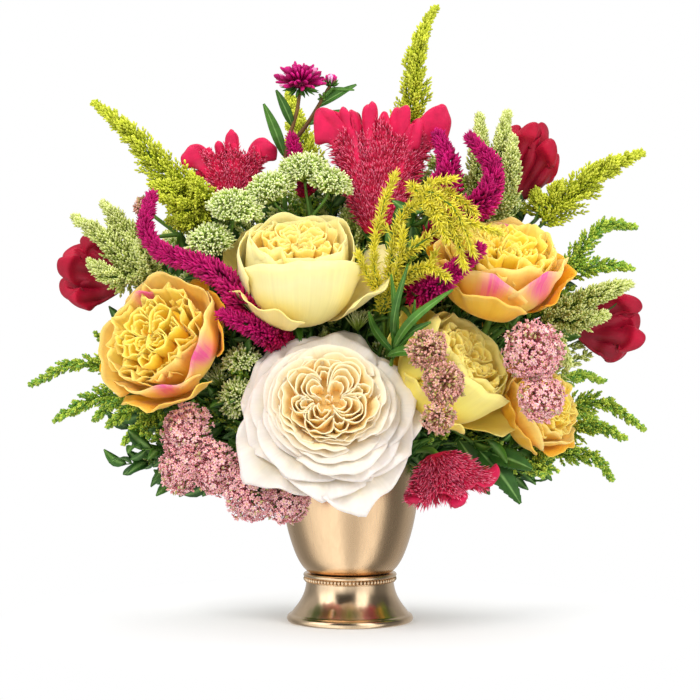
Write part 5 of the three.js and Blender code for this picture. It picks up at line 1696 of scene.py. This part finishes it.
def add_crests():
    red = CRIMSON, "crimson_crest"
    x, z = (1, 0, 0), (0, 0, 1)
    add_crest("crimson_cockscomb_top", *red, (17, -6, 240), (0.03, 0, 1), x, crimson, 80, 70, 1.5, 3,
              TOP_LOBES, 7.0, 0.26, 4200, (4.4, 7.2))
    add_crest("crimson_cockscomb_left", *red, (-72, 10, 256), (-0.06, 0, 1), x, crimson, 46, 46, 2.5, 4,
              LEFT_LOBES)
    add_crest("crimson_cockscomb_low", *red, (52, -42, 106), (0.3, -0.55, -0.75), x, crimson, 36, 56, 2.5,
              3, LOW_LOBES, 5.0, 0.3, 2600, (5.0, 8.5))
    add_crest("crimson_cockscomb_back", *red, (12, 42, 240), (0, 0.35, 0.94), x, crimson, 52, 56, 1.5, 3,
              LEFT_LOBES)
    dark = VELVET, "velvet_crest"
    add_crest("velvet_cockscomb_left", *dark, (-142, 13, 212), (-1, 0, 0.2), z, velvet, 42, 50, 7, 5, 2)
    add_crest("velvet_cockscomb_top", *dark, (100, 18, 262), (0.36, 0, 0.93), x, velvet, 52, 44, 7, 6, 4)
    add_crest("velvet_cockscomb_right", *dark, (142, 10, 182), (1, 0, 0.1), z, velvet, 42, 50, 7, 5, 3)


def with_stem(p, aim, sides, rings):
    """A plant and the stem that carries it."""
    pile = Pile()
    pile.skin = p["materials"].index(STEM_GREEN)
    tube(pile, stem_route(aim, p["foot"], p["arrive"]), p["radius"], sides, rings, 0.35)
    pile.skin = 0
    p["grow"](pile, draws(p["name"]))
    return pile


def build_plants():
    aims = spread_apart([p["foot"] - HEART for p in plants], STEM_APART)
    for p, aim in zip(plants, aims):
        node = p["name"] + "_stem" if "_rose" in p["name"] else p["name"]
        with_stem(p, aim, 10, 48).build(node + "_grown", p["materials"], p["slot"], node)
    for p in small_plants:
        with_stem(p, unit(p["foot"] - HEART), 8, 40).build(p["name"], p["materials"], p["slot"])


# ---- Greenery between the flowers ------------------------------------------------------------


# The room that sprigs leave before a rose, and the heads at the front that no leaf may cover, as
# spheres: the low red cockscomb, and the front, right and left stonecrops.
LEAF_ROOM = 6.0
KEPT_CLEAR = [((60, -58, 86), 37), ((46, -84, 152), 24), ((110, -62, 156), 26), ((-80, -56, 100), 30)]

# How high the mass of sprigs behind the flowers reaches, from left to right.
SKYLINE = [(-150, 186), (-128, 222), (-104, 244), (-76, 262), (-46, 274), (-16, 284), (20, 282), (52, 286),
           (84, 280), (104, 262), (124, 240), (146, 214), (158, 196)]
TALL_SPRIGS = 126
TALL_DROPS = (0, 22, 10, 38, 5, 28, 15)
TALL_KINDS = ("pale", "green", "leafy", "umbel", "green", "pale", "leafy", "umbel", "pale")

# The sprigs all round fill half an egg about the foam: their lowest direction and how they crowd to
# the sides, its reach to the sides, the depth, up and down, the kinds that grow high and low on it,
# the heights of a direction that count as high, where a sprig comes out of the foam, and the reach
# below which it is too short or only leafy.
SPRIGS = 360
LOWEST, FLATTENED = -0.16, (1.2, 0.8, 1)
HIGH_GROUP, HIGH_GROWTH = 0.72, 0.45
SPRIG_START = 25
MASS_SIDE, MASS_DEPTH, MASS_UP, MASS_DOWN = 150, 82, 178, 45
HIGH_KINDS = ("pale", "leafy", "umbel", "green", "leafy", "pale", "leafy")
LOW_KINDS = ("leafy", "green", "leafy", "pale", "leafy", "leafy", "green")
TOO_SHORT, ONLY_LEAFY = 36, 58

SPRIG_SKINS = {"leafy": 0, "pale": 2, "green": 3, "umbel": 4}
SPRIG_HABITS = {
    "pale": {**PANICLE_SPRAY, "reach": 20.0, "pitch": 1.8, "levels": 5},
    "green": {**FROND_SPRAY, "reach": 22.0, "pitch": 2.0, "levels": 6},
}


def among_blooms(spots):
    """Which places lie among the petals of a rose or before a head that the front shows whole."""
    blocked = np.zeros(len(spots), bool)
    for _, _, _, base, axis, scale, form, _ in ROSES:
        base, axis = at(*base), unit(at(*axis))
        away = spots - base
        height = away @ axis + form["under"]
        aside = np.linalg.norm(away - axis * (away @ axis)[:, None], axis=1)
        blocked |= (height > 0) & (aside < np.minimum(12 + height * 2.2, form["spread"]) * scale)
    for centre, radius in KEPT_CLEAR:
        blocked |= np.linalg.norm(spots - at(*centre), axis=1) < radius
    return blocked


def clear_of_blooms(way, reach):
    """How far a sprig can grow along a direction before it would touch a rose."""
    steps = np.arange(24.0, reach + LEAF_ROOM, 2.0)
    blocked = among_blooms(HEART + way * steps[:, None])
    if blocked.any():
        reach = min(reach, steps[blocked][0] - LEAF_ROOM)
    return reach


def leaves_along(pile, random, route, reach):
    """Leaves along the outer part of a sprig."""
    count = int(8 + reach / 9)
    roots, tangents, normals, others = route.frames(np.linspace(max(0.3, 1 - 90 / reach), 1, count))
    angle = np.arange(count) * 2.4 + random.uniform(-0.4, 0.4, count)
    sides = normals * np.cos(angle)[:, None] + others * np.sin(angle)[:, None]
    axes = unit(sides + tangents * random.uniform(0.6, 1.3, count)[:, None])
    lengths = random.uniform(12, 22, count)
    widths = lengths * random.uniform(0.16, 0.24)
    scatter(pile, LEAF, roots, axes, lengths, widths, random.uniform(0, 0.9, count))


def small_umbel(pile, random, tip, way):
    """A loose head of blunt buds at the end of a sprig."""
    count = 44
    out = unit(cap_points(count, 0.0, random) + way * 0.4)
    ends = tip + out * random.uniform(6, 10, count)[:, None]
    stalklets(pile, tip - way * 5, ends, random, 0.3, 0.25, 0.3)
    for k in range(4):
        axes = unit(out + way * 0.3 + random.normal(0, 0.35, (count, 3)))
        scatter(pile, BLUNT, ends - out * 0.7 * k, axes, random.uniform(3.0, 4.6, count),
                random.uniform(0.5, 0.72, count), random.uniform(0.1, 1.0, count))


def sprig(pile, random, way, reach, kind):
    """A short stalk out of the foam: leafy, or with small buds in a spray or a head at its end."""
    tip = HEART + way * reach
    bend = HEART + way * reach * 0.5 + random.normal(0, 3, 3)
    route = spline(HEART + way * SPRIG_START, bend, tip)
    pile.skin = 1
    tube(pile, route, lambda s: 1.0 - 0.6 * s, 5, 14, 0.3)
    pile.skin = SPRIG_SKINS[kind]
    if kind == "leafy":
        leaves_along(pile, random, route, reach)
    elif kind == "umbel":
        small_umbel(pile, random, tip, way)
    else:
        top = Route(route.spot(np.linspace(1 - min(48 / reach, 0.7), 1, 12)))
        clothe(pile, top, SPRIG_HABITS[kind], random)


def greenery():
    """Sprigs that fill the gaps: tall ones behind the flowers, and the mass round the foam. They are
    gathered by kind, side and height."""
    random = draws("greenery")
    even = even_directions(SPRIGS, LOWEST) * FLATTENED
    ways = unit(even + random.normal(0, 0.05, (SPRIGS, 3)))
    piles = {}

    def grow(way, reach, kind, group=""):
        where = group + ("leaves" if kind == "leafy" else "buds") + ("_front" if way[1] < 0 else "_back")
        where += "_left" if way[0] < 0 else "_right"
        where += "_high" if way[2] > HIGH_GROUP else "_low"
        pile = piles.setdefault(where, Pile())
        pile.spare = among_blooms
        sprig(pile, random, way, reach, kind)

    left, right = SKYLINE[0][0], SKYLINE[-1][0]
    for k in range(TALL_SPRIGS):
        x = left + (right - left) * (k + random.random()) / TALL_SPRIGS
        z = np.interp(x, *zip(*SKYLINE)) - TALL_DROPS[k % len(TALL_DROPS)] - random.uniform(0, 8)
        away = at(x, random.uniform(0, 34), z) - HEART
        reach = np.linalg.norm(away)
        grow(away / reach, reach, TALL_KINDS[k % len(TALL_KINDS)], "tall_")
    for k, way in enumerate(ways):
        sizes = at(MASS_SIDE, MASS_DEPTH, MASS_UP if way[2] > 0 else MASS_DOWN)
        reach = clear_of_blooms(way, random.uniform(0.76, 0.98) / np.linalg.norm(way / sizes))
        if reach < TOO_SHORT:
            continue
        kinds = HIGH_KINDS if way[2] > HIGH_GROWTH else LOW_KINDS
        grow(way, reach, "leafy" if reach < ONLY_LEAFY else kinds[k % len(kinds)])
    for where, pile in piles.items():
        pile.build("greenery_" + where, [LEAF_GREEN, STEM_GREEN, PANICLE, FROND, UMBEL], "frond_green")


# ---- Making everything -----------------------------------------------------------------------

vase_foot()
vase_collar()
vase_bowl()
foam()
add_plants()
build_plants()
aster_head()
aster_bud()
greenery()


# ---- Floor, light and camera -----------------------------------------------------------------


def floor_material():
    """Pale under the vase, and glowing white from a few centimetres out: painted light that washes out the
    floor's shadows and meets the white background.
    """
    nodes = Nodes(bpy.data.materials.new("pale_floor"))
    nodes.set(Base_Color=linear((0.97, 0.97, 0.97)), Roughness=0.7, Specular_IOR_Level=0.2)
    glow = nodes.new("ShaderNodeEmission")
    glow.inputs["Color"].default_value = linear((1, 1, 1))
    distance = nodes.new("ShaderNodeVectorMath", operation="LENGTH")
    nodes.join(nodes.new("ShaderNodeTexCoord").outputs["Object"], distance.inputs[0])
    mixed = nodes.new("ShaderNodeMixShader")
    # The glow fades in from 3 to 22 cm out from the middle: painted light over the shadows there.
    nodes.join(nodes.span(distance.outputs["Value"], 0.03, 0.22), mixed.inputs[0])
    nodes.join(nodes.shader.outputs[0], mixed.inputs[1])
    nodes.join(glow.outputs[0], mixed.inputs[2])
    nodes.join(mixed.outputs[0], nodes.tree.nodes["Material Output"].inputs["Surface"])
    return nodes.holder


def add_floor():
    mesh = bpy.data.meshes.new("floor")
    mesh.from_pydata([tuple(3 * spot) for spot in compass(even_turns(96))], [], [tuple(range(96))])
    mesh.materials.append(floor_material())
    floor = bpy.data.objects.new("floor", mesh)
    floor.visible_glossy = False
    bpy.context.scene.collection.objects.link(floor)


# Light and dark panels round the studio, by the share of a turn from the front over the left.
LOW_PANELS = [(0.0, 0.72), (0.03, 0.82), (0.06, 1.35), (0.15, 1.25), (0.24, 0.9), (0.28, 0.32),
              (0.34, 0.25), (0.5, 0.6), (0.66, 0.45), (0.72, 0.2), (0.81, 0.15), (0.84, 1.1), (0.88, 1.35),
              (0.93, 1.05), (0.965, 0.66), (1.0, 0.72)]
HIGH_PANELS = [(0.0, 0.05), (0.1, 0.06), (0.125, 1.9), (0.22, 1.9), (0.25, 0.4), (0.5, 0.5), (0.66, 0.3),
               (0.7, 0.08), (0.85, 0.12), (0.875, 1.9), (0.945, 1.9), (0.96, 0.1), (1.0, 0.05)]


def warm(panels):
    return [(place, (value, value * 0.99, value * 0.97, 1)) for place, value in panels]


def add_world():
    """White to the camera, an even soft light on the flowers, and panels for brass to mirror."""
    nodes = Nodes(bpy.data.worlds.new("studio"))
    bpy.context.scene.world = nodes.holder
    x, y, z = nodes.split(nodes.new("ShaderNodeTexCoord").outputs["Generated"])
    share = nodes.span(nodes.math("ARCTAN2", x, y), -math.pi, math.pi)
    low, high = nodes.ramp(share, warm(LOW_PANELS)), nodes.ramp(share, warm(HIGH_PANELS))
    panels = nodes.mix(nodes.span(z, 0.15, 0.4), low, high)
    path = nodes.new("ShaderNodeLightPath")
    soft = nodes.mix(path.outputs["Is Glossy Ray"], (0.82, 0.82, 0.82, 1), panels)
    seen = nodes.mix(path.outputs["Is Camera Ray"], soft, (1, 1, 1, 1))
    nodes.join(seen, nodes.tree.nodes["Background"].inputs["Color"])


def add_light(name, place, aim, size, power, colour=(1, 1, 1)):
    lamp = bpy.data.lights.new(name, "AREA")
    lamp.shape = "DISK"
    lamp.size = size
    lamp.energy = power
    lamp.color = colour
    holder = bpy.data.objects.new(name, lamp)
    holder.visible_glossy = False
    holder.location = place
    holder.rotation_euler = (Vector(aim) - Vector(place)).to_track_quat("-Z", "Y").to_euler()
    bpy.context.scene.collection.objects.link(holder)


# The camera, in metres: how far in front, how high, its sensor and lens, and how far it looks down.
CAMERA_BACK, CAMERA_HEIGHT = 1.35, 0.193
CAMERA_SENSOR = 36
CAMERA_LENS = CAMERA_SENSOR * 2177 / 700
CAMERA_DROP = math.radians(1.05)

add_floor()
add_world()
add_light("key", (-0.75, -1.1, 1.25), (0, 0, 0.18), 0.8, 15, (1, 0.985, 0.96))
add_light("fill", (1.1, -1.0, 0.7), (0, 0, 0.2), 0.9, 10)
add_light("top", (0.1, 0.35, 1.5), (0, 0, 0.2), 0.8, 9)

camera = bpy.data.objects.new("camera", bpy.data.cameras.new("camera"))
camera.data.lens = CAMERA_LENS
camera.data.sensor_width = CAMERA_SENSOR
camera.location = (0, -CAMERA_BACK, CAMERA_HEIGHT)
camera.rotation_euler = (math.pi / 2 - CAMERA_DROP, 0, 0)
bpy.context.scene.collection.objects.link(camera)
bpy.context.scene.camera = camera
bpy.context.scene.view_settings.view_transform = "Standard"
